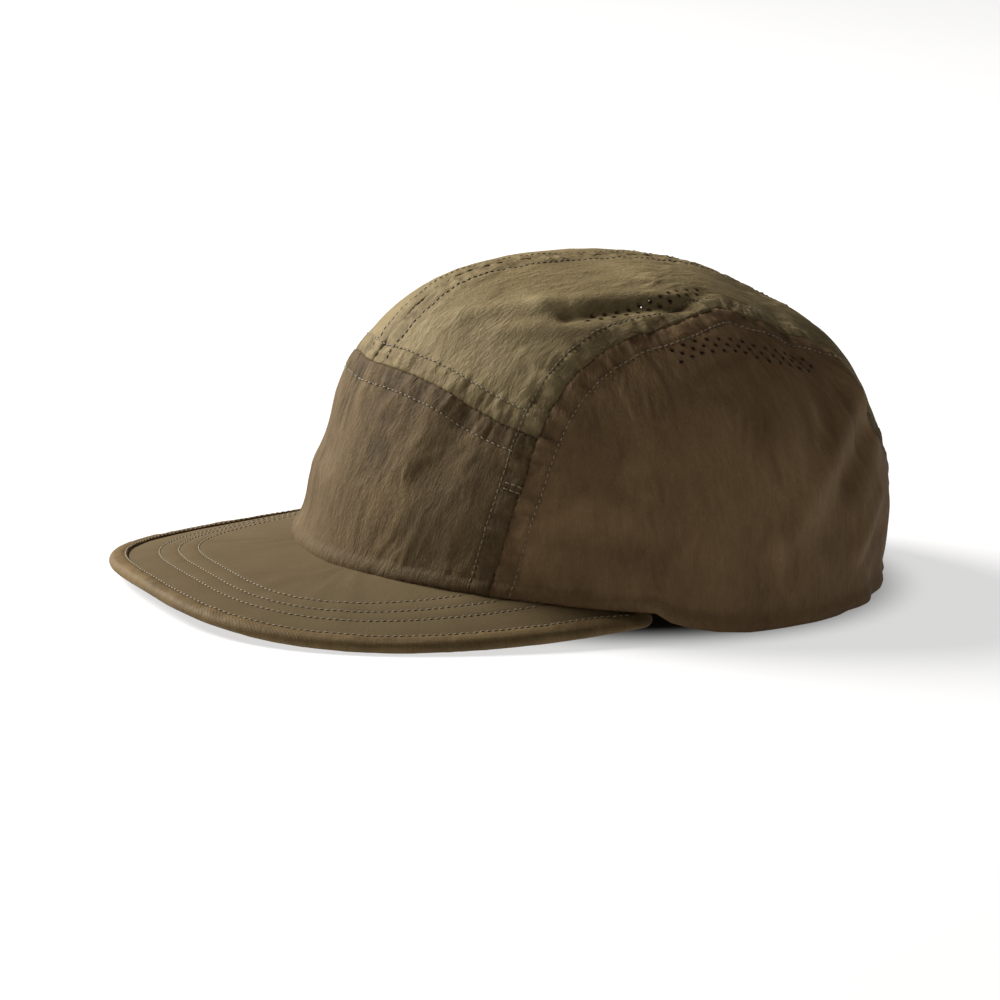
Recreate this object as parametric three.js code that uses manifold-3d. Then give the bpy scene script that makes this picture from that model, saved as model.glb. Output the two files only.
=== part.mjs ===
// Five panel cap: a front panel, two top panels, two side panels, a short flat peak and the binding
// round the peak's edge. It rests on a floor as it does by itself: the back and sides of the rim and the
// two front corners of the peak touch z = 0. Millimetres, +Z up, peak towards -Y, wearer's left at +X.

import * as THREE from 'three';
import { mergeVertices } from 'three/addons/utils/BufferGeometryUtils.js';
import Module from 'manifold-3d';

const wasm = await Module();
wasm.setup();

// Crown sizes, measured to the outside of the cloth from the middle of the head opening
const HEAD_HALF_WIDTH = 85.4;
const HEAD_FRONT = 98.8;
const HEAD_BACK = 94.4;
const CROWN_HEIGHT = 100.3;
const CROWN_SQUARENESS = 2.5;
const CLOTH = 1.4;
const SEAM_GAP = 0.3;
const RIM_LIFT = 12.2;
const HEM_FLARE = 1.0;
const HEM_HEIGHT = 4;

// Peak sizes
const PEAK_REACH = 54.6;
const PEAK_OVERHANG = 3.7;
const PEAK_SQUARENESS = 2.7;
const PEAK_ROOT = 29.3;
const PEAK_THICKNESS = 1.5;
const PEAK_SLOPE = 0.073;
const PEAK_ARCH = 10.3;
const PEAK_END_WIDTH = 8;
const PEAK_END_LENGTH = 6;
const PEAK_CLEARANCE = 0.5;

// The peak's ends tuck under the rim: they thin by a share over the taper's length
const PEAK_TAPER_LENGTH = 22;
const PEAK_TAPER = 0.35;

// Binding sizes, and its nose's corners as shares of half its height
const BINDING_WIDTH = 5.8;
const BINDING_WALL = 0.8;
const BINDING_GAP = 0.4;
const BINDING_NOSE = [{ inset: 0.7, rise: 1 }, { inset: 0.2, rise: 0.7 }];

// Where the peak is this many binding widths wide, its own thickness sets its height under the rim
const PEAK_BLEND = { from: 1.5, to: 2 };

// Vent holes. A row's first hole lies at a share of the pitch, and every other row is staggered.
const VENT_DIAMETER = 1.1;
const VENT_PITCH = 4.1;
const VENT_ROW_STEP = 2.4;
const VENT_FIRST = 0.25;
const VENT_STAGGER = 0.5;
const VENT_SIDES = 4;
const PUNCH_DEPTH = 4 * CLOTH;

// Mesh steps
const UP_STEPS = 11;
const ALONG_STEPS = 22;
const FRONT_HALF_STEPS = 8;
const PEAK_STEPS = 34;
const PEAK_END_STEPS = 4;
const PEAK_ROWS = 4;

// Height of the rim over the peak and down to the floor, as shares of RIM_LIFT
const RIM = [
  { bearing: 0, share: 1 },
  { bearing: 20, share: 1.02 },
  { bearing: 40, share: 0.94 },
  { bearing: 55, share: 0.82 },
  { bearing: 66, share: 0.7 },
  { bearing: 75, share: 0.62 },
  { bearing: 80, share: 0.38 },
  { bearing: 86, share: 0.22 },
  { bearing: 94, share: 0.09 },
  { bearing: 105, share: 0 },
  { bearing: 180, share: 0 },
];

// The crown's radius as shares of a plain dome's. Each row is a bearing from the front, in degrees, and
// each column a height angle above the floor.
const FORM_HEIGHTS = [0, 15, 30, 45, 60, 75, 90];
const FORM = [
  { bearing: 0, shares: [1.0, 0.975, 0.968, 1.0, 1.033, 1.014, 1] },
  { bearing: 30, shares: [1.003, 0.979, 0.967, 0.985, 1.001, 1.005, 1] },
  { bearing: 60, shares: [1.01, 0.991, 0.981, 0.983, 0.991, 0.996, 1] },
  { bearing: 90, shares: [1.015, 0.999, 0.991, 0.988, 0.989, 0.994, 1] },
  { bearing: 120, shares: [1.024, 1.002, 0.998, 0.995, 0.989, 0.991, 1] },
  { bearing: 150, shares: [0.99, 1.008, 1.003, 0.998, 0.961, 0.984, 1] },
  { bearing: 180, shares: [0.982, 0.998, 1.001, 0.992, 0.966, 0.987, 1] },
];

// Dents and folds: straight runs between two directions on the crown. Width is half the width, in
// degrees, and depth a share of the crown's radius, with ridges below zero.
const FOLDS = [
  { name: 'top valley', from: [46, 59], to: [97, 64.3], width: 2.4, depth: 0.024 },
  { name: 'top valley end', from: [97, 64.3], to: [116, 67.5], width: 3, depth: 0.014 },
  { name: 'top ridge', from: [18, 54.5], to: [40, 62.5], width: 3, depth: -0.012 },
  { name: 'top ridge end', from: [40, 62.5], to: [90, 67.2], width: 2.6, depth: -0.012 },
  { name: 'top lower ridge', from: [32, 54], to: [72, 57.5], width: 2.4, depth: -0.008 },
  { name: 'front ridge', from: [27, 41], to: [22, 27], width: 2.6, depth: -0.007 },
  { name: 'front hollow', from: [31, 36], to: [28, 29], width: 5, depth: 0.011 },
  { name: 'brow hollow', from: [-45, 24], to: [-6, 27], width: 6, depth: 0.022 },
  { name: 'lower brow hollow', from: [-45, 12], to: [-6, 14], width: 8, depth: 0.022 },
  { name: 'side dent', from: [66, 49], to: [72, 32], width: 8, depth: 0.022 },
  { name: 'side bulge', from: [95, 50], to: [104, 38], width: 9, depth: -0.014 },
  { name: 'side mark', from: [89, 48], to: [104, 50.5], width: 2.4, depth: -0.006 },
  { name: 'side low ridge', from: [59, 26], to: [50, 20], width: 2.6, depth: -0.010 },
  { name: 'side crease', from: [54, 19.5], to: [76, 18], width: 3.5, depth: 0.014 },
  { name: 'rear ridge', from: [139, 37], to: [122, 30], width: 3.6, depth: -0.016 },
  { name: 'rear ridge end', from: [122, 30], to: [105, 17], width: 3.2, depth: -0.014 },
  { name: 'rear valley', from: [146, 34], to: [128, 26], width: 3.6, depth: 0.022 },
  { name: 'rear valley end', from: [128, 26], to: [118, 17], width: 3.6, depth: 0.014 },
  { name: 'rear low ridge', from: [141, 19], to: [129, 12], width: 2.6, depth: -0.014 },
  { name: 'rear low valley', from: [143, 13], to: [130, 8], width: 2.6, depth: 0.012 },
  { name: 'rear edge', from: [141, 44], to: [143, 30], width: 3.2, depth: -0.018 },
  { name: 'behind the edge', from: [151, 46], to: [155, 32], width: 4.4, depth: 0.034 },
  { name: 'shoulder fold', from: [142, 57], to: [126, 50], width: 2.8, depth: 0.014 },
  { name: 'far top valley', from: [-55, 61], to: [-105, 66], width: 6, depth: 0.014 },
  { name: 'far side dent', from: [-75, 46], to: [-82, 30], width: 10, depth: 0.016 },
  { name: 'far rear valley', from: [-140, 34], to: [-122, 24], width: 6, depth: 0.018 },
];

// Gathers at the back of the hem: shallow upright pleats, evenly spaced
const GATHERS = { first: 124, last: 236, step: 16, top: 16, width: 4.5, depth: 0.014 };

// Seams as directions from the middle of the head opening: bearing from the front and height angle.
// The side seam runs up from the rim in front, over the shoulder of the crown and down to the rim behind.
// The front seam meets it at its front corner, and the side panel's upper edge ends at its back corner.
const SIDE_SEAM = [
  { bearing: 45.3, height: 19 },
  { bearing: 47.5, height: 28.5 },
  { bearing: 49.3, height: 36, corner: 'front' },
  { bearing: 53.5, height: 45.5 },
  { bearing: 60.5, height: 52.8 },
  { bearing: 71, height: 57.2 },
  { bearing: 85.5, height: 59.5 },
  { bearing: 100, height: 62 },
  { bearing: 111, height: 62.6 },
  { bearing: 119, height: 59.6 },
  { bearing: 130.5, height: 56 },
  { bearing: 141, height: 50.5, corner: 'back' },
  { bearing: 150, height: 42 },
  { bearing: 155.5, height: 30 },
  { bearing: 159.5, height: 16 },
];

// Bearings at which the side seam meets the rim
const SIDE_SEAM_START = 43;
const SIDE_SEAM_END = 162;
const FRONT_SEAM = [
  { bearing: 12, height: 42.5 },
  { bearing: 23.5, height: 41.5 },
  { bearing: 32.5, height: 39.7 },
  { bearing: 41, height: 37.7 },
];

// Angles turned up over the centre: from the front to the front seam, and from the back to a point level
// with the back corners
const FRONT_SEAM_ANGLE = 41.5;
const BACK_CORNER_ANGLE = 52;

// Vents: the path of the first row of each band, the number of rows and the side that they step to
const SIDE_VENTS = {
  rows: 3,
  step: -1,
  path: [
    { bearing: 82.5, height: 54 },
    { bearing: 91, height: 55.6 },
    { bearing: 99, height: 55.6 },
    { bearing: 106, height: 54.8 },
    { bearing: 113.5, height: 52.7 },
    { bearing: 124, height: 50 },
    { bearing: 131, height: 47.5 },
  ],
};
const TOP_VENTS = {
  rows: 2,
  step: 1,
  path: [
    { bearing: 56, height: 60.3 },
    { bearing: 66, height: 62.2 },
    { bearing: 78, height: 64.2 },
    { bearing: 90, height: 66.2 },
    { bearing: 102, height: 67.8 },
    { bearing: 114, height: 67.6 },
  ],
};

const radians = THREE.MathUtils.degToRad;

function direction(bearing, height) {
  const across = Math.cos(radians(height));
  return new THREE.Vector3(
    Math.sin(radians(bearing)) * across,
    -Math.cos(radians(bearing)) * across,
    Math.sin(radians(height)),
  );
}

// Smooth curve through four values, at a share of the way from b to c
function blendFour(a, b, c, d, share) {
  const slope = c - a;
  const bend = 2 * a - 5 * b + 4 * c - d;
  const twist = 3 * b - a - 3 * c + d;
  return b + 0.5 * share * (slope + share * (bend + share * twist));
}

function reflectIndex(index, last) {
  const folded = Math.abs(index);
  return folded > last ? 2 * last - folded : folded;
}

// Share of the dome's radius at a bearing and height, from the form table
function formShare(bearing, height) {
  const column = FORM_HEIGHTS.length - 1;
  const along = Math.min(Math.max(height / FORM_HEIGHTS[1], 0), column - 1e-6);
  const round = Math.min(Math.abs(bearing) / FORM[1].bearing, FORM.length - 1 - 1e-6);
  const j = Math.floor(along);
  const i = Math.floor(round);
  const rowValue = (row) => {
    const shares = FORM[reflectIndex(row, FORM.length - 1)].shares;
    const at = (k) => shares[reflectIndex(k, column)];
    return blendFour(at(j - 1), at(j), at(j + 1), at(j + 2), along - j);
  };
  return blendFour(rowValue(i - 1), rowValue(i), rowValue(i + 1), rowValue(i + 2), round - i);
}

function bump(unit, from, to, width, depth) {
  const run = new THREE.Vector3().subVectors(to, from);
  const share = new THREE.Vector3().subVectors(unit, from).dot(run) / run.lengthSq();
  const nearest = from.clone().addScaledVector(run, Math.min(Math.max(share, 0), 1)).normalize();
  const away = unit.distanceTo(nearest) / radians(width);
  return depth * Math.exp(-away * away);
}

const foldRuns = FOLDS.map((fold) => ({
  from: direction(...fold.from),
  to: direction(...fold.to),
  width: fold.width,
  depth: fold.depth,
}));
for (let bearing = GATHERS.first; bearing <= GATHERS.last; bearing += GATHERS.step) {
  const from = direction(bearing, 0);
  const to = direction(bearing, GATHERS.top);
  foldRuns.push({ from, to, width: GATHERS.width, depth: GATHERS.depth });
}

// Distance from the middle of the head opening to the outside of the crown
function crownRadius(unit) {
  const length = unit.y < 0 ? HEAD_FRONT : HEAD_BACK;
  const across = Math.hypot(unit.x / HEAD_HALF_WIDTH, unit.y / length);
  const dome = Math.pow(
    across ** CROWN_SQUARENESS + (Math.abs(unit.z) / CROWN_HEIGHT) ** CROWN_SQUARENESS,
    -1 / CROWN_SQUARENESS,
  );
  const bearing = THREE.MathUtils.radToDeg(Math.atan2(unit.x, -unit.y));
  const height = THREE.MathUtils.radToDeg(Math.asin(Math.min(Math.abs(unit.z), 1)));
  const folded = foldRuns.reduce(
    (sum, fold) => sum + bump(unit, fold.from, fold.to, fold.width, fold.depth), 0);
  const radius = dome * (formShare(bearing, height) - folded);
  const aboveRim = Math.max(radius * unit.z - rimHeight(bearing), 0) / HEM_HEIGHT;
  return radius + HEM_FLARE * Math.exp(-aboveRim * aboveRim);
}

// Height of the rim at a bearing, straight between the rows of its table
function rimHeight(bearing) {
  const around = Math.abs(bearing);
  const next = Math.max(RIM.findIndex((row) => row.bearing >= around), 1);
  const [low, high] = [RIM[next - 1], RIM[next]];
  const share = (around - low.bearing) / (high.bearing - low.bearing);
  return RIM_LIFT * THREE.MathUtils.lerp(low.share, high.share, share);
}

// Direction in which the rim lies at a bearing, found by closing in on its height
const RIM_PASSES = 8;

function rimDirection(bearing) {
  const target = rimHeight(bearing > 180 ? bearing - 360 : bearing);
  let unit = direction(bearing, 0);
  for (let pass = 0; pass < RIM_PASSES; pass += 1) {
    const height = Math.asin(target / crownRadius(unit));
    unit = direction(bearing, THREE.MathUtils.radToDeg(height));
  }
  return unit;
}

function curveThrough(rows) {
  return new THREE.CatmullRomCurve3(rows.map((row) => direction(row.bearing, row.height)));
}

const sideSeam = new THREE.CatmullRomCurve3([
  rimDirection(SIDE_SEAM_START),
  ...SIDE_SEAM.map((row) => direction(row.bearing, row.height)),
  rimDirection(SIDE_SEAM_END),
]);
// The rim's point comes before the table's rows, so a row's knot is one more than its place there
const cornerRow = (name) => SIDE_SEAM.findIndex((row) => row.corner === name);
const frontCornerKnot = cornerRow('front') + 1;
const backCornerKnot = cornerRow('back') + 1;
const frontSeamHalf = [...FRONT_SEAM, SIDE_SEAM[cornerRow('front')]];
const frontSeam = curveThrough([
  ...frontSeamHalf.map((row) => ({ bearing: -row.bearing, height: row.height })).reverse(),
  { bearing: 0, height: FRONT_SEAM_ANGLE },
  ...frontSeamHalf,
]);

function evenShares(steps) {
  return Array.from({ length: steps + 1 }, (_, k) => k / steps);
}

// Shares of the way up from the rim, with one short step for the hem
const HEM_SHARE = 0.05;
const upShares = [0, ...evenShares(UP_STEPS - 1).map((share) => HEM_SHARE + (1 - HEM_SHARE) * share)];

// Unit vectors on a stretch of a curve, between two of its knots
function stretch(curve, fromKnot, toKnot, shares) {
  const last = curve.points.length - 1;
  return shares.map((share) => (
    curve.getPoint(THREE.MathUtils.lerp(fromKnot, toKnot, share) / last).normalize()
  ));
}

function rimStretch(fromBearing, toBearing, shares) {
  return shares.map((share) => rimDirection(THREE.MathUtils.lerp(fromBearing, toBearing, share)));
}

// Directions on the centre seam, by the angle turned up from the front
function centreStretch(fromAngle, toAngle, shares) {
  return shares.map((share) => {
    const angle = radians(THREE.MathUtils.lerp(fromAngle, toAngle, share));
    return new THREE.Vector3(0, -Math.cos(angle), Math.sin(angle));
  });
}

const mirrored = (units) => units.map((unit) => new THREE.Vector3(-unit.x, unit.y, unit.z));
const joined = (first, second) => [...first, ...second.slice(1)];
const reversed = (units) => [...units].reverse();

// Directions inside four edges: near and far run along u, left and right run along v
function fillEdges({ near, far, left, right, uShares, vShares }) {
  return vShares.map((v, j) => uShares.map((u, i) => {
    const unit = new THREE.Vector3();
    unit.addScaledVector(near[i], 1 - v).addScaledVector(far[i], v);
    unit.addScaledVector(left[j], 1 - u).addScaledVector(right[j], u);
    unit.addScaledVector(near[0], -(1 - u) * (1 - v));
    unit.addScaledVector(near.at(-1), -u * (1 - v));
    unit.addScaledVector(far[0], -(1 - u) * v);
    unit.addScaledVector(far.at(-1), -u * v);
    return unit.normalize();
  }));
}

// Pulls the edges that are sewn back by half a seam gap
function trimSeams(grid, sewn) {
  const rows = grid.length - 1;
  const columns = grid[0].length - 1;
  const shifts = grid.map((row) => row.map(() => new THREE.Vector3()));
  const shift = (j, i, back, ahead, inside) => {
    const along = new THREE.Vector3().subVectors(ahead, back);
    const inward = new THREE.Vector3().crossVectors(grid[j][i], along).normalize();
    if (inward.dot(new THREE.Vector3().subVectors(inside, grid[j][i])) < 0) {
      inward.negate();
    }
    shifts[j][i].addScaledVector(inward, SEAM_GAP / 2 / crownRadius(grid[j][i]));
  };
  const trimRow = (j, inner) => grid[j].forEach((_, i) => {
    shift(j, i, grid[j][Math.max(i - 1, 0)], grid[j][Math.min(i + 1, columns)], grid[inner][i]);
  });
  const trimColumn = (i, inner) => grid.forEach((_, j) => {
    shift(j, i, grid[Math.max(j - 1, 0)][i], grid[Math.min(j + 1, rows)][i], grid[j][inner]);
  });
  if (sewn.near) trimRow(0, 1);
  if (sewn.far) trimRow(rows, rows - 1);
  if (sewn.left) trimColumn(0, 1);
  if (sewn.right) trimColumn(columns, columns - 1);
  return grid.map((row, j) => row.map((unit, i) => unit.clone().add(shifts[j][i]).normalize()));
}

// A closed solid between two like grids of points, with the outer one seen from its front
function solidBetween(outer, inner) {
  const rows = outer.length;
  const columns = outer[0].length;
  const points = [...outer.flat(), ...inner.flat()];
  const place = (layer, j, i) => layer * rows * columns + j * columns + i;
  const triangles = [];
  const quad = (a, b, c, d) => triangles.push(a, b, c, a, c, d);
  for (let j = 0; j < rows - 1; j += 1) {
    for (let i = 0; i < columns - 1; i += 1) {
      quad(place(0, j, i), place(0, j, i + 1), place(0, j + 1, i + 1), place(0, j + 1, i));
      quad(place(1, j, i), place(1, j + 1, i), place(1, j + 1, i + 1), place(1, j, i + 1));
    }
  }
  for (let i = 0; i < columns - 1; i += 1) {
    quad(place(0, 0, i), place(1, 0, i), place(1, 0, i + 1), place(0, 0, i + 1));
    quad(place(0, rows - 1, i + 1), place(1, rows - 1, i + 1),
      place(1, rows - 1, i), place(0, rows - 1, i));
  }
  for (let j = 0; j < rows - 1; j += 1) {
    quad(place(0, j + 1, 0), place(1, j + 1, 0), place(1, j, 0), place(0, j, 0));
    quad(place(0, j, columns - 1), place(1, j, columns - 1),
      place(1, j + 1, columns - 1), place(0, j + 1, columns - 1));
  }
  const geometry = new THREE.BufferGeometry();
  geometry.setAttribute('position',
    new THREE.Float32BufferAttribute(points.flatMap((point) => point.toArray()), 3));
  geometry.setIndex(triangles);
  return geometry;
}

function panelSolid(grid) {
  const layer = (depth) => grid.map((row) => row.map((unit) => (
    unit.clone().multiplyScalar(crownRadius(unit) - depth)
  )));
  return solidBetween(layer(0), layer(CLOTH));
}

const WELD_DISTANCE = 1e-5;

function toManifold(geometry) {
  const bare = new THREE.BufferGeometry();
  bare.setAttribute('position', geometry.getAttribute('position'));
  bare.setIndex(geometry.getIndex());
  const merged = mergeVertices(bare, WELD_DISTANCE);
  return new wasm.Manifold(new wasm.Mesh({
    numProp: 3,
    vertProperties: Float32Array.from(merged.getAttribute('position').array),
    triVerts: Uint32Array.from(merged.getIndex().array),
  }));
}

function fromManifold(solid) {
  const { vertProperties, triVerts } = solid.getMesh();
  const geometry = new THREE.BufferGeometry();
  geometry.setAttribute('position', new THREE.BufferAttribute(vertProperties, 3));
  geometry.setIndex(new THREE.BufferAttribute(triVerts, 1));
  return geometry;
}

// Directions of the holes of a vent band: staggered rows along a path, at an even pitch
function ventDirections({ rows, step, path }) {
  const curve = curveThrough(path);
  const radius = crownRadius(curve.getPoint(0.5).normalize());
  const count = Math.floor(curve.getLength() * radius / VENT_PITCH);
  const holes = [];
  for (let row = 0; row < rows; row += 1) {
    for (let k = 0; k < count; k += 1) {
      const share = (k + VENT_FIRST + VENT_STAGGER * (row % 2)) / count;
      const unit = curve.getPointAt(share).normalize();
      const along = curve.getTangentAt(share);
      const up = new THREE.Vector3().crossVectors(unit, along).normalize();
      up.multiplyScalar(step * row * VENT_ROW_STEP / radius);
      holes.push(unit.add(up).normalize());
    }
  }
  return holes;
}

function cutVents(panel, holes) {
  const radius = VENT_DIAMETER / 2;
  return holes.reduce((solid, unit) => {
    const punch = new THREE.CylinderGeometry(radius, radius, PUNCH_DEPTH, VENT_SIDES);
    punch.applyQuaternion(new THREE.Quaternion().setFromUnitVectors(new THREE.Vector3(0, 1, 0), unit));
    punch.translate(...unit.clone().multiplyScalar(crownRadius(unit) - CLOTH / 2).toArray());
    return solid.subtract(toManifold(punch));
  }, panel);
}

function frontPanel() {
  const side = stretch(sideSeam, 0, frontCornerKnot, upShares);
  const shares = evenShares(2 * FRONT_HALF_STEPS);
  const grid = fillEdges({
    near: rimStretch(-SIDE_SEAM_START, SIDE_SEAM_START, shares),
    far: stretch(frontSeam, 0, frontSeam.points.length - 1, shares),
    left: mirrored(side),
    right: side,
    uShares: shares,
    vShares: upShares,
  });
  return panelSolid(trimSeams(grid, { far: true, left: true, right: true }));
}

// Grid of the left side panel: u runs back along the rim and v runs up
function sidePanelGrid() {
  const lastKnot = sideSeam.points.length - 1;
  const shares = evenShares(ALONG_STEPS);
  const grid = fillEdges({
    near: rimStretch(SIDE_SEAM_START, SIDE_SEAM_END, shares),
    far: stretch(sideSeam, frontCornerKnot, backCornerKnot, shares),
    left: stretch(sideSeam, 0, frontCornerKnot, upShares),
    right: stretch(sideSeam, lastKnot, backCornerKnot, upShares),
    uShares: shares,
    vShares: upShares,
  });
  return trimSeams(grid, { far: true, left: true, right: true });
}

// Grid of the left top panel: u runs out from the centre seam and v runs back from the front seam
function topPanelGrid() {
  const along = evenShares(ALONG_STEPS);
  const middleKnot = FRONT_SEAM.length + 1;
  const backAngle = 180 - BACK_CORNER_ANGLE;
  const lastKnot = sideSeam.points.length - 1;
  const acrossShares = evenShares(FRONT_HALF_STEPS);
  const inner = joined(
    centreStretch(FRONT_SEAM_ANGLE, backAngle, along),
    reversed(centreStretch(180, backAngle, upShares)),
  );
  const outer = joined(
    stretch(sideSeam, frontCornerKnot, backCornerKnot, along),
    reversed(stretch(sideSeam, lastKnot, backCornerKnot, upShares)),
  );
  const grid = fillEdges({
    near: stretch(frontSeam, middleKnot, frontSeam.points.length - 1, acrossShares),
    far: rimStretch(180, SIDE_SEAM_END, acrossShares),
    left: inner,
    right: outer,
    uShares: acrossShares,
    vShares: evenShares(ALONG_STEPS + UP_STEPS),
  });
  return trimSeams(grid, { near: true, left: true, right: true });
}

const mirroredGrid = (grid) => grid.map((row) => reversed(mirrored(row)));

function ventedPair(grid, vents) {
  const holes = ventDirections(vents);
  const left = cutVents(toManifold(panelSolid(grid)), holes);
  const right = cutVents(toManifold(panelSolid(mirroredGrid(grid))), mirrored(holes));
  return [left, right].map(fromManifold);
}

// Points of the peak's outer edge, from the wearer's right round the front to the left, each with the
// outward normal of the edge
const PEAK_HALF_WIDTH = HEAD_HALF_WIDTH + PEAK_OVERHANG;
const PEAK_LENGTH = HEAD_FRONT + PEAK_REACH - PEAK_ROOT;

function peakOutline() {
  const power = 2 / PEAK_SQUARENESS;
  const front = evenShares(PEAK_STEPS).map((share) => {
    const turn = Math.PI * (share - 0.5);
    const x = PEAK_HALF_WIDTH * Math.sign(turn) * Math.abs(Math.sin(turn)) ** power;
    return [x, -PEAK_ROOT - PEAK_LENGTH * Math.abs(Math.cos(turn)) ** power];
  });
  const end = evenShares(PEAK_END_STEPS).slice(1).map((share) => {
    const turn = 0.5 * Math.PI * share;
    const x = PEAK_HALF_WIDTH - PEAK_END_WIDTH * (1 - Math.cos(turn));
    return [x, -PEAK_ROOT + PEAK_END_LENGTH * Math.sin(turn)];
  });
  const points = [...end.map(([x, y]) => [-x, y]).reverse(), ...front, ...end]
    .map(([x, y]) => new THREE.Vector2(x, y));
  return points.map((point, k) => {
    const back = points[Math.max(k - 1, 0)];
    const ahead = points[Math.min(k + 1, points.length - 1)];
    const normal = new THREE.Vector2(ahead.y - back.y, back.x - ahead.x).normalize();
    return { point, normal, bearing: THREE.MathUtils.radToDeg(Math.atan2(point.x, -point.y)) };
  });
}

const outline = peakOutline();

// Share of the way along the taper at the peak's ends
const endShare = ({ y }) => (
  THREE.MathUtils.smoothstep(y, -PEAK_ROOT - PEAK_TAPER_LENGTH, -PEAK_ROOT + PEAK_END_LENGTH)
);
const endThinning = (point) => 1 - PEAK_TAPER * endShare(point);

// Height of the middle of the peak at its outer edge, with its lowest corners on the floor
const bindingHalfHeight = PEAK_THICKNESS / 2 + BINDING_GAP + BINDING_WALL;
const edgeShape = ({ x, y }) => (
  PEAK_SLOPE * y - PEAK_ARCH * (y > -PEAK_ROOT ? 1 : (x / PEAK_HALF_WIDTH) ** 2)
);
const lowestEdge = Math.min(...outline.map(({ point }) => edgeShape(point)));
const edgeHeight = (point) => edgeShape(point) - lowestEdge + bindingHalfHeight;

// Place on the outer edge of the peak at a bearing
function edgeAt(bearing) {
  const found = outline.findIndex((row) => row.bearing >= bearing);
  const next = found < 0 ? outline.length - 1 : Math.max(found, 1);
  const [low, high] = [outline[next - 1], outline[next]];
  const share = (bearing - low.bearing) / (high.bearing - low.bearing);
  return low.point.clone().lerp(high.point, THREE.MathUtils.clamp(share, 0, 1));
}

function innerRadius(bearing) {
  const unit = rimDirection(bearing);
  return (crownRadius(unit) - CLOTH) * Math.hypot(unit.x, unit.y);
}

const bearingOf = (point) => THREE.MathUtils.radToDeg(Math.atan2(point.x, -point.y));

// Share of its thickness that the peak keeps at a place, from the edge beyond it
const thinningAt = (point) => endThinning(edgeAt(bearingOf(point)));

// Height of the middle of the peak: straight out from under the rim to the outer edge
function peakHeight(point) {
  const bearing = bearingOf(point);
  const edge = edgeAt(bearing);
  const inside = innerRadius(bearing);
  const reach = edge.length() - inside;
  const share = (point.length() - inside) / Math.max(reach, BINDING_WIDTH);
  const widths = reach / BINDING_WIDTH;
  const clearOfBinding = THREE.MathUtils.smoothstep(widths, PEAK_BLEND.from, PEAK_BLEND.to);
  const half = THREE.MathUtils.lerp(bindingHalfHeight, PEAK_THICKNESS / 2, clearOfBinding);
  const underRim = rimHeight(bearing) - PEAK_CLEARANCE - half * endThinning(edge);
  return THREE.MathUtils.lerp(underRim, edgeHeight(edge), THREE.MathUtils.clamp(share, 0, 1));
}

function peakSheet() {
  const tuck = BINDING_WALL + BINDING_GAP;
  const layer = (rise) => evenShares(PEAK_ROWS).map((share) => outline.map(({ point, normal }) => {
    const outside = point.clone().addScaledVector(normal, -tuck);
    const reach = Math.min(innerRadius(bearingOf(outside)), outside.length() - 1);
    const place = outside.clone().lerp(outside.clone().setLength(reach), share);
    return new THREE.Vector3(place.x, place.y, peakHeight(place) + rise * thinningAt(place));
  }));
  return solidBetween(layer(PEAK_THICKNESS / 2), layer(-PEAK_THICKNESS / 2));
}

// Section of the binding: distance in from the edge and height from the peak's middle, as one closed loop
function bindingSection() {
  const half = bindingHalfHeight;
  const slot = half - BINDING_WALL;
  const upper = [
    { inset: BINDING_WALL, rise: slot },
    { inset: BINDING_WIDTH, rise: slot },
    { inset: BINDING_WIDTH, rise: half },
    ...BINDING_NOSE.map(({ inset, rise }) => ({ inset: half * inset, rise: half * rise })),
  ];
  const lower = upper.map(({ inset, rise }) => ({ inset, rise: -rise })).reverse();
  return [...upper, { inset: 0, rise: 0 }, ...lower];
}

// A closed solid from a closed section swept along stations
function sweptSolid(stations) {
  const count = stations[0].length;
  const points = stations.flat();
  const triangles = [];
  for (let k = 0; k < stations.length - 1; k += 1) {
    for (let i = 0; i < count; i += 1) {
      const next = (i + 1) % count;
      const [a, b] = [k * count + i, k * count + next];
      triangles.push(a, b, b + count, a, b + count, a + count);
    }
  }
  const flat = bindingSection().map(({ inset, rise }) => new THREE.Vector2(-inset, rise));
  const last = (stations.length - 1) * count;
  THREE.ShapeUtils.triangulateShape(flat, []).forEach(([a, b, c]) => {
    triangles.push(a, b, c);
    triangles.push(last + c, last + b, last + a);
  });
  const geometry = new THREE.BufferGeometry();
  geometry.setAttribute('position',
    new THREE.Float32BufferAttribute(points.flatMap((point) => point.toArray()), 3));
  geometry.setIndex(triangles);
  return geometry;
}

function peakBinding() {
  const section = bindingSection();
  return sweptSolid(outline.map(({ point, normal }) => section.map(({ inset, rise }) => {
    const place = point.clone().addScaledVector(normal, -inset);
    return new THREE.Vector3(place.x, place.y, peakHeight(place) + rise * thinningAt(place));
  })));
}

const cloth = (color) => new THREE.MeshStandardMaterial({ color, roughness: 0.85, metalness: 0 });
const materials = {
  front: cloth('#7d6b4c'),
  top: cloth('#8d7f5f'),
  side: cloth('#5c4c35'),
  peak: cloth('#75664a'),
  binding: cloth('#7f7051'),
};

function namedMesh(name, geometry, material) {
  geometry.computeVertexNormals();
  const mesh = new THREE.Mesh(geometry, material);
  mesh.name = name;
  return mesh;
}

const [sideLeft, sideRight] = ventedPair(sidePanelGrid(), SIDE_VENTS);
const [topLeft, topRight] = ventedPair(topPanelGrid(), TOP_VENTS);

const cap = new THREE.Group();
cap.add(
  namedMesh('front_panel', frontPanel(), materials.front),
  namedMesh('top_panel_left', topLeft, materials.top),
  namedMesh('top_panel_right', topRight, materials.top),
  namedMesh('side_panel_left', sideLeft, materials.side),
  namedMesh('side_panel_right', sideRight, materials.side),
  namedMesh('peak', peakSheet(), materials.peak),
  namedMesh('peak_binding', peakBinding(), materials.binding),
);

// The origin is the middle of the cap's box, on the floor
const box = new THREE.Box3().setFromObject(cap);
const middle = box.getCenter(new THREE.Vector3());
cap.position.set(-middle.x, -middle.y, -box.min.z);

export default cap;
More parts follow.
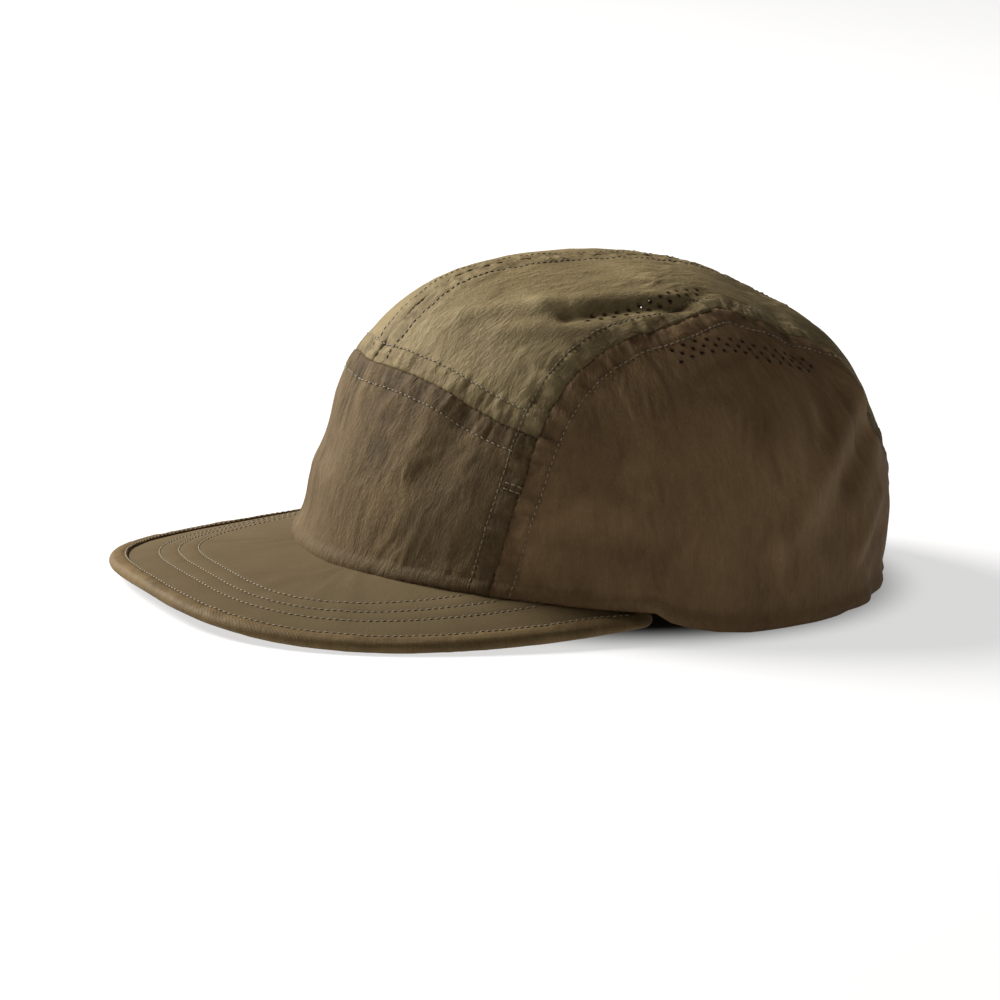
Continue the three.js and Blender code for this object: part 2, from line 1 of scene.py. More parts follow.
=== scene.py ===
# Looks of a five panel cap: crinkled cloth, seams, stitches, vent holes, materials, floor, light and camera
import math

import bpy
import numpy as np
from mathutils import Matrix, Vector
from mathutils.bvhtree import BVHTree


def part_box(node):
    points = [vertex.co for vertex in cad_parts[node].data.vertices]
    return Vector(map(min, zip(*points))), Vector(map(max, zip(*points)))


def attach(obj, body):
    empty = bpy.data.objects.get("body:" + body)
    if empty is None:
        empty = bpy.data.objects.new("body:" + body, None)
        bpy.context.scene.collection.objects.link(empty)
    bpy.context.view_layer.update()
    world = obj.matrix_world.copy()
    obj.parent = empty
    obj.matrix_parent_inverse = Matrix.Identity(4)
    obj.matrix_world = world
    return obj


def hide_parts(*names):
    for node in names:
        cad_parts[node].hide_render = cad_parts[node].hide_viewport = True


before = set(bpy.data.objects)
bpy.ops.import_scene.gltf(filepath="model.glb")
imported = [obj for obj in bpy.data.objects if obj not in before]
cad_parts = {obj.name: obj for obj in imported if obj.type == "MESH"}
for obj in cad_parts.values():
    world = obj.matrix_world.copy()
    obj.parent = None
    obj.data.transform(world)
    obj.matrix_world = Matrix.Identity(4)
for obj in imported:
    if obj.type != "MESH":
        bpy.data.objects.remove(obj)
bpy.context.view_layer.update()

MM = 0.001

# Crown sizes in millimetres, as in the part
HEAD_HALF_WIDTH = 85.4
HEAD_FRONT = 98.8
HEAD_BACK = 94.4
CROWN_HEIGHT = 100.3
CROWN_SQUARENESS = 2.5
CLOTH = 1.4
RIM_LIFT = 12.2
HEM_FLARE = 1.0
HEM_HEIGHT = 4

# Peak sizes in millimetres, as in the part, but for the clearance and the binding's wall and gap, which
# bring the edge closer to the photo
PEAK_REACH = 54.6
PEAK_OVERHANG = 3.7
PEAK_SQUARENESS = 2.7
PEAK_ROOT = 29.3
PEAK_THICKNESS = 1.5
PEAK_SLOPE = 0.073
PEAK_ARCH = 10.3
PEAK_END_WIDTH = 8
PEAK_END_LENGTH = 6
PEAK_TAPER_LENGTH = 22
PEAK_TAPER = 0.35
PEAK_CLEARANCE = -0.1
BINDING_WIDTH = 5.8
BINDING_WALL = 0.6
BINDING_GAP = 0.3
PEAK_HALF_WIDTH = HEAD_HALF_WIDTH + PEAK_OVERHANG
PEAK_LENGTH = HEAD_FRONT + PEAK_REACH - PEAK_ROOT
BINDING_HALF = PEAK_THICKNESS / 2 + BINDING_GAP + BINDING_WALL

# Vent holes, a little wider than the part's
VENT_DIAMETER = 1.4
VENT_PITCH = 4.1
VENT_ROW_STEP = 2.4
VENT_SIDES = 14
PUNCH_OUTSIDE = 3
PUNCH_INSIDE = 4

# Fine surface: distance between points, seams, hem and thread
POINT_STEP = 0.72
THIN_CLOTH = 0.5
SEAM_ALLOWANCE = 6.4
FAR_FROM_SEAMS = 20
SEAM_GAP = 0.1
ALLOWANCE_RISE = 0.16
CHANNEL_DEPTH = 0.30
PUCKER_DEPTH = 0.48
HEM_DOUBLING = 0.3
HEM_STRIP = 4.3
STITCH_PITCH = 2.0
STITCH_LENGTH = 1.5
THREAD_DIAMETER = 0.38
PEAK_STITCH_INSETS = [15.5, 21.5, 27.6]
BINDING_STITCH_INSET = 5.1

# Height of the rim over the peak and down to the floor: bearing from the front, share of RIM_LIFT
RIM = [
    (0, 1), (20, 1.02), (40, 0.94), (55, 0.82), (66, 0.7), (75, 0.62),
    (78, 0.38), (82, 0.22), (88, 0.08), (95, 0), (180, 0),
]

# The crown's radius as shares of a plain dome's: a row every 30 degrees of bearing from the front, and a
# column every 15 degrees of height
FORM_BEARING_STEP = 30
FORM_HEIGHT_STEP = 15
FORM = np.array([
    [1.0, 0.975, 0.968, 1.0, 1.033, 1.014, 1],
    [1.003, 0.979, 0.967, 0.985, 1.001, 1.005, 1],
    [1.01, 0.991, 0.981, 0.983, 0.991, 0.996, 1],
    [1.015, 0.999, 0.991, 0.988, 0.989, 0.994, 1],
    [1.008, 1.0, 0.998, 0.995, 0.989, 0.991, 1],
    [0.968, 1.002, 1.003, 0.998, 0.961, 0.984, 1],
    [0.982, 0.998, 1.001, 0.992, 0.966, 0.987, 1],
])

# Dents and folds: from and to as bearing and height, half width in degrees, depth as a share of the
# radius, with ridges below zero
FOLDS = [
    ("top valley", (50, 60.2), (94, 64.6), 1.5, 0.015),
    ("top valley end", (94, 64.6), (116, 67.5), 2, 0.008),
    ("top ridge", (18, 54.5), (40, 62.2), 2.2, -0.009),
    ("top ridge end", (40, 62.2), (96, 67.0), 2.2, -0.010),
    ("top lower ridge", (32, 54), (72, 58), 1.8, -0.007),
    ("front ridge", (27, 41), (22, 27), 2.6, -0.007),
    ("front hollow", (31, 36), (28, 29), 5, 0.011),
    ("brow hollow", (-45, 24), (-6, 27), 6, 0.022),
    ("lower brow hollow", (-45, 12), (-6, 14), 8, 0.022),
    ("side dent", (66, 49), (72, 32), 8, 0.022),
    ("side bulge", (95, 50), (104, 38), 9, -0.014),
    ("side mark", (89, 48), (104, 50.5), 2.4, -0.006),
    ("side low ridge", (59, 26), (50, 20), 2.6, -0.010),
    ("side crease", (54, 19.5), (76, 18), 3.5, 0.014),
    ("rear ridge", (139, 37), (122, 30), 3.6, -0.016),
    ("rear ridge end", (122, 30), (105, 17), 3.2, -0.014),
    ("rear valley", (146, 34), (128, 26), 3.6, 0.022),
    ("rear valley end", (128, 26), (118, 17), 3.6, 0.014),
    ("rear low ridge", (141, 19), (129, 12), 2.6, -0.014),
    ("rear low valley", (143, 13), (130, 8), 2.6, 0.012),
    ("rear edge", (141, 44), (143, 30), 3.2, -0.024),
    ("behind the edge", (151, 47), (155, 33), 4.2, 0.052),
    ("shoulder fold", (142, 57), (126, 50), 2.8, 0.014),
    ("far top valley", (-55, 61), (-105, 66), 6, 0.014),
    ("far side dent", (-75, 46), (-82, 30), 10, 0.016),
    ("far rear valley", (-140, 34), (-122, 24), 6, 0.018),
]
GATHERS = {"first": 124, "last": 236, "step": 16, "top": 16, "width": 4.5, "depth": 0.014}

# Seams as bearing and height. The side seam starts and ends at the rim, at these bearings.
SIDE_SEAM_START = 43
SIDE_SEAM_END = 162
SIDE_SEAM = [
    (45.3, 19), (47.5, 28.5), (49.3, 36), (53.5, 45.5), (60.5, 52.8), (71, 57.2), (85.5, 59.5),
    (100, 62), (111, 62.6), (119, 59.6), (130.5, 56), (141, 50.5), (150, 42), (155.5, 30), (159.5, 16),
]
FRONT_CORNER = 3
BACK_CORNER = 12
FRONT_SEAM = [(12, 42.3), (23.5, 41.5), (32.5, 39.7), (41, 37.7), SIDE_SEAM[FRONT_CORNER - 1]]
FRONT_SEAM_MIDDLE = 42
BACK_CORNER_ANGLE = 52

# Vents: path of the first row, number of rows and the side that they step to
SIDE_VENTS = {
    "rows": 3,
    "step": -1,
    "path": [(82.5, 54), (91, 55.6), (99, 55.6), (106, 54.8), (113.5, 52.7), (124, 50), (131, 47.5)],
}
TOP_VENTS = {
    "rows": 2,
    "step": 1,
    "path": [(56, 60.3), (66, 62.2), (78, 64.2), (90, 66.2), (102, 67.8), (114, 67.6)],
}


def smooth_step(value, low, high):
    share = np.clip((value - low) / (high - low), 0, 1)
    return share * share * (3 - 2 * share)


def bell(value, width):
    return np.exp(-((value / width) ** 2))


def unit_of(vectors):
    return vectors / np.linalg.norm(vectors, axis=-1, keepdims=True)


def mirror(points):
    return points * np.array([-1, 1, 1])


def direction(bearing, height):
    bearing, height = np.radians(bearing), np.radians(height)
    across = np.cos(height)
    parts = [np.sin(bearing) * across, -np.cos(bearing) * across, np.sin(height) + 0 * across]
    return np.stack(np.broadcast_arrays(*parts), axis=-1)


def directions(rows):
    return direction(np.array([row[0] for row in rows]), np.array([row[1] for row in rows]))


# Smooth noise between -1 and 1, from one seeded lattice
LATTICE = 256
lattice = np.random.default_rng(12).uniform(-1, 1, (LATTICE, LATTICE))


def noise(u, v):
    i, j = np.floor(u).astype(int), np.floor(v).astype(int)
    s, t = smooth_step(u - i, 0, 1), smooth_step(v - j, 0, 1)

    def at(a, b):
        return lattice[(i + a) % LATTICE, (j + b) % LATTICE]

    near = at(0, 0) * (1 - s) + at(1, 0) * s
    far = at(0, 1) * (1 - s) + at(1, 1) * s
    return near * (1 - t) + far * t


def blend_four(a, b, c, d, share):
    return b + 0.5 * share * (c - a + share * (2 * a - 5 * b + 4 * c - d + share * (3 * b - a - 3 * c + d)))


def reflect_index(index, last):
    folded = np.abs(index)
    return np.where(folded > last, 2 * last - folded, folded)


def form_share(bearing, height):
    rows, columns = FORM.shape[0] - 1, FORM.shape[1] - 1
    along = np.clip(height / FORM_HEIGHT_STEP, 0, columns - 1e-6)
    around = np.clip(np.abs(bearing) / FORM_BEARING_STEP, 0, rows - 1e-6)
    i, j = around.astype(int), along.astype(int)

    def row_value(row):
        kept = reflect_index(row, rows)
        values = [FORM[kept, reflect_index(j + k, columns)] for k in (-1, 0, 1, 2)]
        return blend_four(*values, along - j)

    return blend_four(*[row_value(i + k) for k in (-1, 0, 1, 2)], around - i)


def fold_runs():
    runs = [(direction(*start), direction(*end), width, depth) for _, start, end, width, depth in FOLDS]
    for bearing in range(GATHERS["first"], GATHERS["last"] + 1, GATHERS["step"]):
        foot, top = direction(bearing, 0), direction(bearing, GATHERS["top"])
        runs.append((foot, top, GATHERS["width"], GATHERS["depth"]))
    return runs


runs = fold_runs()


def bump(unit, start, end, width, depth):
    run = end - start
    share = np.clip((unit - start) @ run / (run @ run), 0, 1)
    nearest_point = unit_of(start + share[..., None] * run)
    away = np.linalg.norm(unit - nearest_point, axis=-1)
    return depth * bell(away, np.radians(width))


def rim_height(bearing):
    around = np.abs((np.asarray(bearing) + 180) % 360 - 180)
    return RIM_LIFT * np.interp(around, [row[0] for row in RIM], [row[1] for row in RIM])


# Distance from the middle of the head opening to the outside of the crown
def crown_radius(unit):
    length = np.where(unit[..., 1] < 0, HEAD_FRONT, HEAD_BACK)
    across = np.hypot(unit[..., 0] / HEAD_HALF_WIDTH, unit[..., 1] / length)
    upward = np.abs(unit[..., 2]) / CROWN_HEIGHT
    dome = (across**CROWN_SQUARENESS + upward**CROWN_SQUARENESS) ** (-1 / CROWN_SQUARENESS)
    bearing = np.degrees(np.arctan2(unit[..., 0], -unit[..., 1]))
    height = np.degrees(np.arcsin(np.clip(np.abs(unit[..., 2]), 0, 1)))
    folded = sum(bump(unit, *run) for run in runs)
    radius = dome * (form_share(bearing, height) - folded)
    above_rim = np.maximum(radius * unit[..., 2] - rim_height(bearing), 0)
    return radius + HEM_FLARE * bell(above_rim, HEM_HEIGHT)


def on_crown(unit):
    return unit * crown_radius(unit)[..., None]


def rim_direction(bearing):
    bearing = np.asarray(bearing, float)
    target = rim_height(bearing)
    height = np.zeros_like(bearing)
    for _ in range(8):
        height = np.degrees(np.arcsin(target / crown_radius(direction(bearing, height))))
    return direction(bearing, height)


# Points at places such as 2.5, halfway from knot 2 to knot 3, on a smooth curve through the knots
def curve_at(knots, places):
    padded = np.vstack([2 * knots[0] - knots[1], knots, 2 * knots[-1] - knots[-2]])
    first = np.clip(np.floor(places).astype(int), 0, len(knots) - 2)
    share = (places - first)[:, None]
    before, start, end, after = (padded[first + k] for k in range(4))

    def span(a, b):
        return np.linalg.norm(b - a, axis=1, keepdims=True) ** 0.5

    lead, own, trail = span(before, start), span(start, end), span(end, after)
    leaving = (start - before) / lead - (end - before) / (lead + own) + (end - start) / own
    arriving = (end - start) / own - (after - start) / (own + trail) + (after - end) / trail
    leaving, arriving = leaving * own, arriving * own
    bend = 3 * (end - start) - 2 * leaving - arriving
    twist = 2 * (start - end) + leaving + arriving
    return start + share * (leaving + share * (bend + share * twist))


side_knots = np.vstack([
    rim_direction([SIDE_SEAM_START]), directions(SIDE_SEAM), rim_direction([SIDE_SEAM_END]),
])
front_half = directions(FRONT_SEAM)
front_knots = np.vstack([mirror(front_half)[::-1], direction(0, FRONT_SEAM_MIDDLE)[None], front_half])
FRONT_MIDDLE = len(FRONT_SEAM)
SIDE_LAST = len(side_knots) - 1


def stretch(knots, first, last, shares):
    return unit_of(curve_at(knots, first + (last - first) * shares))


def rim_stretch(first, last, shares):
    return rim_direction(first + (last - first) * shares)


def centre_stretch(first, last, shares):
    angle = np.radians(first + (last - first) * shares)
    return np.stack([0 * angle, -np.cos(angle), np.sin(angle)], axis=-1)


def fill_edges(near, far, left, right, u, v):
    u, v = u[None, :, None], v[:, None, None]
    grid = near[None] * (1 - v) + far[None] * v + left[:, None] * (1 - u) + right[:, None] * u
    grid = grid - near[0] * (1 - u) * (1 - v) - near[-1] * u * (1 - v)
    return unit_of(grid - far[0] * (1 - u) * v - far[-1] * u * v)


# Even shares from 0 to 1 with about one point for every step of a length in millimetres
def shares_for(length):
    return np.linspace(0, 1, int(round(length / POINT_STEP)) + 1)


def line_length(points):
    return np.linalg.norm(np.diff(points, axis=0), axis=1).sum()


def dense_line(stretch_points):
    points = on_crown(stretch_points)
    along = np.concatenate([[0], np.cumsum(np.linalg.norm(np.diff(points, axis=0), axis=1))])
    return {"points": points, "along": along}


LINE_SHARES = np.linspace(0, 1, 1001)
side_line = dense_line(stretch(side_knots, 0, SIDE_LAST, LINE_SHARES))
front_line = dense_line(stretch(front_knots, 0, 2 * FRONT_MIDDLE, LINE_SHARES))
centre_line = dense_line(centre_stretch(FRONT_SEAM_MIDDLE, 180, LINE_SHARES))
rim_line = dense_line(rim_stretch(-180, 180, LINE_SHARES))


def mirror_line(line):
    return {"points": mirror(line["points"]), "along": line["along"]}


far_side_line = mirror_line(side_line)


# Points are compared with a line this many at a time, to save memory
POINTS_AT_ONCE = 4000


# Distance from each point to the nearest point of a line, and how far along the line that is
def to_line(points, line):
    flat = points.reshape(-1, 3)
    target = line["points"]
    target_square = (target**2).sum(1)
    nearest_index = np.empty(len(flat), int)
    away = np.empty(len(flat))
    for first in range(0, len(flat), POINTS_AT_ONCE):
        chosen = slice(first, first + POINTS_AT_ONCE)
        part = flat[chosen]
        squares = (part**2).sum(1)[:, None] + target_square - 2 * part @ target.T
        best = squares.argmin(1)
        nearest_index[chosen] = best
        away[chosen] = np.sqrt(np.maximum(squares[np.arange(len(part)), best], 0))
    return away.reshape(points.shape[:-1]), line["along"][nearest_index].reshape(points.shape[:-1])


# Height of the cloth beside a sewn seam: ditch, folded allowance, stitch channel and puckers
def seam_relief(away, along, seed):
    ditch = -(0.28 + 0.20 * np.sin(2 * np.pi * along / STITCH_PITCH)) * bell(away, 0.55)
    allowance = ALLOWANCE_RISE * (1 - smooth_step(away, SEAM_ALLOWANCE, SEAM_ALLOWANCE + 1.2))
    channel = -CHANNEL_DEPTH * bell(away - SEAM_ALLOWANCE, 0.5)
    channel *= 1 + 0.35 * np.sin(2 * np.pi * along / STITCH_PITCH)
    waves = noise(along / 2.1 + seed, away / 8) + 0.5 * noise(along / 1.2, away / 5 + seed)
    puckers = PUCKER_DEPTH * waves * bell(away - 3.5, 4.0)
    return ditch + allowance + channel + puckers


# Thin wrinkles of crinkled nylon, which run along v
def crinkle(u, v, seed):
    bend = 3.6 * noise(u / 15 + seed, v / 14) + 1.1 * noise(u / 5 + seed, v / 6)
    long_wrinkles = 0.5 - np.abs(noise((u + bend) / 3.2, v / 13 + seed))
    short_wrinkles = noise((u + bend) / 1.6 + 40, v / 4.5 + seed)
    broad = noise((u + bend) / 7, v / 17 + seed)
    patches = 0.6 + 0.5 * noise(u / 13 + seed, v / 17 + 60)
    return patches * (0.50 * long_wrinkles + 0.19 * short_wrinkles + 0.44 * broad)


def pull_edge(grid, edge, inner):
    inward = unit_of(grid[inner] - grid[edge])
    grid[edge] = unit_of(grid[edge] + inward * SEAM_GAP / 2 / CROWN_HEIGHT)


# One panel as two layers of points with the cloth coordinates of the outer one
def panel_layers(grid, seams, seed, crinkle_share):
    base = on_crown(grid)
    rows, columns = grid.shape[:2]
    width = np.mean([line_length(base[j]) for j in range(0, rows, 10)])
    length = np.mean([line_length(base[:, i]) for i in range(0, columns, 10)])
    u = np.broadcast_to(np.linspace(0, width, columns)[None, :], (rows, columns))
    v = np.broadcast_to(np.linspace(0, length, rows)[:, None], (rows, columns))
    above_rim, around = to_line(base, rim_line)
    sewn = [to_line(base, line) for line in seams]
    near_seam = np.minimum.reduce([away for away, _ in sewn])
    strip = 1 - smooth_step(above_rim, HEM_STRIP - 0.5, HEM_STRIP + 0.5)
    flatness = (1 - 0.7 * strip) * (1 - 0.5 * bell(near_seam, SEAM_ALLOWANCE))
    wrinkles = crinkle_share * flatness * crinkle(u, v, seed)
    hem = 0.30 * strip - 0.30 * bell(above_rim - HEM_STRIP - 0.3, 0.6)
    hem_waves = 0.20 * noise(around / 7 + seed, above_rim / 5) * bell(above_rim, 2 * HEM_STRIP)
    edge = -0.45 * bell(above_rim, 0.5)
    beside = sum(seam_relief(away, along, seed + 7 * k) for k, (away, along) in enumerate(sewn))
    relief = wrinkles + hem + hem_waves + edge + beside
    outer = base + grid * relief[..., None]
    # One layer of cloth is thin, and the hem and the seam allowances are folded double
    by_seam = bell(near_seam, SEAM_ALLOWANCE)
    folded = np.maximum(1 - smooth_step(above_rim, HEM_STRIP, HEM_STRIP + 2), by_seam)
    thickness = THIN_CLOTH + (CLOTH - HEM_DOUBLING - THIN_CLOTH) * folded
    inner = base + grid * (wrinkles + edge - thickness)[..., None]
    # Relief kept for the colour: crinkle valleys and seam ditches get painted shade, ridges painted highlight
    height = np.clip(2.0 * wrinkles + 0.9 * (beside - ALLOWANCE_RISE * by_seam), -1, 1)
    return outer, inner, np.stack([u, v, near_seam], axis=-1), height


# A closed mesh between two like grids of points in crown millimetres
def solid_between(name, outer, inner, cloth, height):
    rows, columns = outer.shape[:2]
    index = np.arange(2 * rows * columns).reshape(2, rows, columns)

    def quads(a, b, c, d):
        return np.stack([a.ravel(), b.ravel(), c.ravel(), d.ravel()], axis=1)

    def layer(k):
        own = index[k]
        return own[:-1, :-1], own[:-1, 1:], own[1:, 1:], own[1:, :-1]

    def wall(edge_outer, edge_inner):
        return edge_outer[:-1], edge_inner[:-1], edge_inner[1:], edge_outer[1:]

    front, back = layer(0), layer(1)
    faces = np.vstack([
        quads(*front),
        quads(back[0], back[3], back[2], back[1]),
        quads(*wall(index[0, 0], index[1, 0])),
        quads(*wall(index[0, -1, ::-1], index[1, -1, ::-1])),
        quads(*wall(index[0, ::-1, 0], index[1, ::-1, 0])),
        quads(*wall(index[0, :, -1], index[1, :, -1])),
    ])
    points = np.concatenate([outer.reshape(-1, 3), inner.reshape(-1, 3)])
    made = mesh_object(name, points, faces)
    both = np.concatenate([cloth.reshape(-1, 3)] * 2)
    # The inner face gets a weaker share of the same painted shade and highlight
    heights = np.concatenate([height.ravel(), 0.4 * height.ravel()])
    store(made.data, "cloth", "FLOAT_VECTOR", "vector", both)
    store(made.data, "relief", "FLOAT", "value", heights)
    return made


def store(mesh, name, kind, key, values):
    attribute = mesh.attributes.new(name, kind, "POINT")
    attribute.data.foreach_set(key, np.ascontiguousarray(values, np.float32).ravel())


# The crown's centre lies ahead of the middle of the whole cap, and the part says how far
low_corner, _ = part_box("peak_binding")
CROWN_SHIFT = np.array([0, low_corner.y / MM + HEAD_FRONT + PEAK_REACH, 0])


def mesh_object(name, points, faces):
    mesh = bpy.data.meshes.new(name)
    placed = (points + CROWN_SHIFT) * MM
    if isinstance(faces, np.ndarray):
        mesh.vertices.add(len(placed))
        mesh.vertices.foreach_set("co", placed.astype(np.float32).ravel())
        mesh.loops.add(faces.size)
        mesh.loops.foreach_set("vertex_index", faces.astype(np.int32).ravel())
        mesh.polygons.add(len(faces))
        mesh.polygons.foreach_set("loop_start", np.arange(0, faces.size, faces.shape[1], dtype=np.int32))
    else:
        mesh.from_pydata(placed.tolist(), [], faces)
    mesh.update(calc_edges=True)
    mesh.validate()
    mesh.shade_smooth()
    made = bpy.data.objects.new(name, mesh)
    bpy.context.scene.collection.objects.link(made)
    return made


def front_grid():
    side_edge = stretch(side_knots, 0, FRONT_CORNER, LINE_SHARES)
    v = shares_for(line_length(on_crown(side_edge)))
    u = shares_for(line_length(on_crown(rim_stretch(-SIDE_SEAM_START, SIDE_SEAM_START, LINE_SHARES))))
    side = stretch(side_knots, 0, FRONT_CORNER, v)
    near = rim_stretch(-SIDE_SEAM_START, SIDE_SEAM_START, u)
    far = stretch(front_knots, 0, 2 * FRONT_MIDDLE, u)
    grid = fill_edges(near, far, mirror(side), side, u, v)
    pull_edge(grid, np.s_[-1], np.s_[-2])
    pull_edge(grid, np.s_[:, 0], np.s_[:, 1])
    pull_edge(grid, np.s_[:, -1], np.s_[:, -2])
    return grid


def side_grid():
    v = shares_for(line_length(on_crown(stretch(side_knots, 0, FRONT_CORNER, LINE_SHARES))) * 1.1)
    u = shares_for(line_length(on_crown(rim_stretch(SIDE_SEAM_START, SIDE_SEAM_END, LINE_SHARES))))
    near = rim_stretch(SIDE_SEAM_START, SIDE_SEAM_END, u)
    far = stretch(side_knots, FRONT_CORNER, BACK_CORNER, u)
    left = stretch(side_knots, 0, FRONT_CORNER, v)
    right = stretch(side_knots, SIDE_LAST, BACK_CORNER, v)
    grid = fill_edges(near, far, left, right, u, v)
    pull_edge(grid, np.s_[-1], np.s_[-2])
    pull_edge(grid, np.s_[:, 0], np.s_[:, 1])
    pull_edge(grid, np.s_[:, -1], np.s_[:, -2])
    return grid


def top_grid():
    back_angle = 180 - BACK_CORNER_ANGLE
    ahead = line_length(on_crown(centre_stretch(FRONT_SEAM_MIDDLE, back_angle, LINE_SHARES)))
    behind = line_length(on_crown(centre_stretch(back_angle, 180, LINE_SHARES)))
    # The part's panel has two thirds of its rows ahead of the back corner, and so has this one
    ahead_rows = int(round((ahead + behind) / POINT_STEP * 2 / 3))
    behind_rows = ahead_rows // 2
    first, second = np.linspace(0, 1, ahead_rows + 1), np.linspace(0, 1, behind_rows + 1)[1:]
    u = shares_for(line_length(on_crown(stretch(front_knots, FRONT_MIDDLE, 2 * FRONT_MIDDLE, LINE_SHARES))))
    v = np.concatenate([first * 2 / 3, 2 / 3 + second / 3])
    inner = np.vstack([
        centre_stretch(FRONT_SEAM_MIDDLE, back_angle, first), centre_stretch(back_angle, 180, second),
    ])
    outer = np.vstack([
        stretch(side_knots, FRONT_CORNER, BACK_CORNER, first),
        stretch(side_knots, BACK_CORNER, SIDE_LAST, second),
    ])
    near = stretch(front_knots, FRONT_MIDDLE, 2 * FRONT_MIDDLE, u)
    grid = fill_edges(near, rim_stretch(180, SIDE_SEAM_END, u), inner, outer, u, v)
    pull_edge(grid, np.s_[0], np.s_[1])
    pull_edge(grid, np.s_[:, 0], np.s_[:, 1])
    pull_edge(grid, np.s_[:, -1], np.s_[:, -2])
    return grid


def vent_units(vents):
    knots = directions(vents["path"])
    places = np.linspace(0, len(knots) - 1, 2001)
    points = curve_at(knots, places)
    along = np.concatenate([[0], np.cumsum(np.linalg.norm(np.diff(points, axis=0), axis=1))])
    middle = unit_of(curve_at(knots, np.array([(len(knots) - 1) / 2])))
    radius = crown_radius(middle)[0]
    count = int(along[-1] * radius / VENT_PITCH)
    found = []
    for row in range(vents["rows"]):
        shares = (np.arange(count) + 0.25 + 0.5 * (row % 2)) / count
        at = np.interp(shares * along[-1], along, places)
        unit, ahead = unit_of(curve_at(knots, at)), curve_at(knots, np.minimum(at + 0.01, len(knots) - 1))
        up = unit_of(np.cross(unit, ahead - unit))
        found.append(unit_of(unit + up * vents["step"] * row * VENT_ROW_STEP / radius))
    return np.vstack(found)


def punches(name, units):
    turn = np.linspace(0, 2 * np.pi, VENT_SIDES, endpoint=False)
    points, faces = [], []
    for unit in units:
        side = unit_of(np.cross(unit, [0, 0, 1]))
        up = np.cross(unit, side)
        ring = (np.outer(np.cos(turn), side) + np.outer(np.sin(turn), up)) * VENT_DIAMETER / 2
        middle = unit * crown_radius(unit[None])[0]
        first = len(points)
        points.extend(middle + unit * PUNCH_OUTSIDE + ring)
        points.extend(middle - unit * PUNCH_INSIDE + ring)
        faces.append([first + k for k in range(VENT_SIDES)])
        faces.append([first + VENT_SIDES + k for k in range(VENT_SIDES)][::-1])
        for k in range(VENT_SIDES):
            after = (k + 1) % VENT_SIDES
            faces.append([first + after, first + k, first + VENT_SIDES + k, first + VENT_SIDES + after])
    return mesh_object(name, np.array(points), faces)


def cut_holes(panel, units):
    tool = punches("punches", units)
    cut = panel.modifiers.new("vents", "BOOLEAN")
    cut.operation = "DIFFERENCE"
    cut.solver = "MANIFOLD"
    cut.object = tool
    bpy.context.view_layer.update()
    evaluated = panel.evaluated_get(bpy.context.evaluated_depsgraph_get())
    whole = panel.data
    panel.data = bpy.data.meshes.new_from_object(evaluated)
    panel.modifiers.clear()
    bpy.data.meshes.remove(whole)
    bpy.data.objects.remove(tool)


def finish_mesh(made, material, node):
    made.data.materials.clear()
    made.data.materials.append(material)
    made.data.set_sharp_from_angle(angle=math.radians(70))
    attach(made, "root")
    if node:
        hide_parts(node)


# Peak outline in the crown's frame, from the wearer's right round the front to the left
def peak_outline(count):
    power = 2 / PEAK_SQUARENESS
    turn = np.linspace(-np.pi / 2, np.pi / 2, 2401)
    x = PEAK_HALF_WIDTH * np.sign(turn) * np.abs(np.sin(turn)) ** power
    y = -PEAK_ROOT - PEAK_LENGTH * np.abs(np.cos(turn)) ** power
    turn = np.linspace(0, np.pi / 2, 61)[1:]
    end_x = PEAK_HALF_WIDTH - PEAK_END_WIDTH * (1 - np.cos(turn))
    end_y = -PEAK_ROOT + PEAK_END_LENGTH * np.sin(turn)
    x = np.concatenate([-end_x[::-1], x, end_x])
    y = np.concatenate([end_y[::-1], y, end_y])
    along = np.concatenate([[0], np.cumsum(np.hypot(np.diff(x), np.diff(y)))])
    even = np.linspace(0, along[-1], count)
    points = np.stack([np.interp(even, along, x), np.interp(even, along, y)], axis=1)
    heading = np.gradient(points, axis=0)
    normal = unit_of(np.stack([heading[:, 1], -heading[:, 0]], axis=1))
    return points, normal, even


PEAK_STATIONS = 420
outline, outline_normal, outline_along = peak_outline(PEAK_STATIONS)
outline_bearing = np.degrees(np.arctan2(outline[:, 0], -outline[:, 1]))
outline_line = {"points": np.column_stack([outline, 0 * outline_along]), "along": outline_along}


def end_share(points):
    return smooth_step(points[..., 1], -PEAK_ROOT - PEAK_TAPER_LENGTH, -PEAK_ROOT + PEAK_END_LENGTH)


def edge_shape(points):
    arch = np.where(points[..., 1] > -PEAK_ROOT, 1, (points[..., 0] / PEAK_HALF_WIDTH) ** 2)
    return PEAK_SLOPE * points[..., 1] - PEAK_ARCH * arch


LOWEST_EDGE = edge_shape(outline).min()


def inner_radius(bearing):
    unit = rim_direction(bearing)
    return (crown_radius(unit) - CLOTH) * np.hypot(unit[..., 0], unit[..., 1])


# Height of the middle of the peak
def peak_height(points):
    bearing = np.degrees(np.arctan2(points[..., 0], -points[..., 1]))
    edge = edge_at(points)
    inside = inner_radius(bearing)
    reach = np.hypot(edge[..., 0], edge[..., 1]) - inside
    share = (np.hypot(points[..., 0], points[..., 1]) - inside) / np.maximum(reach, BINDING_WIDTH)
    clear = smooth_step(reach, 1.5 * BINDING_WIDTH, 2 * BINDING_WIDTH)
    half = (BINDING_HALF + (PEAK_THICKNESS / 2 - BINDING_HALF) * clear) * end_thinning(points)
    under_rim = rim_height(bearing) - PEAK_CLEARANCE - half
    edge_height = edge_shape(edge) - LOWEST_EDGE + BINDING_HALF
    return under_rim + (edge_height - under_rim) * np.clip(share, 0, 1)


# Share of its thickness that the peak keeps at a place, from the edge beyond it
def end_thinning(points):
    return 1 - PEAK_TAPER * end_share(edge_at(points))


def edge_at(points):
    bearing = np.degrees(np.arctan2(points[..., 0], -points[..., 1]))
    return np.stack([np.interp(bearing, outline_bearing, outline[:, k]) for k in (0, 1)], axis=-1)


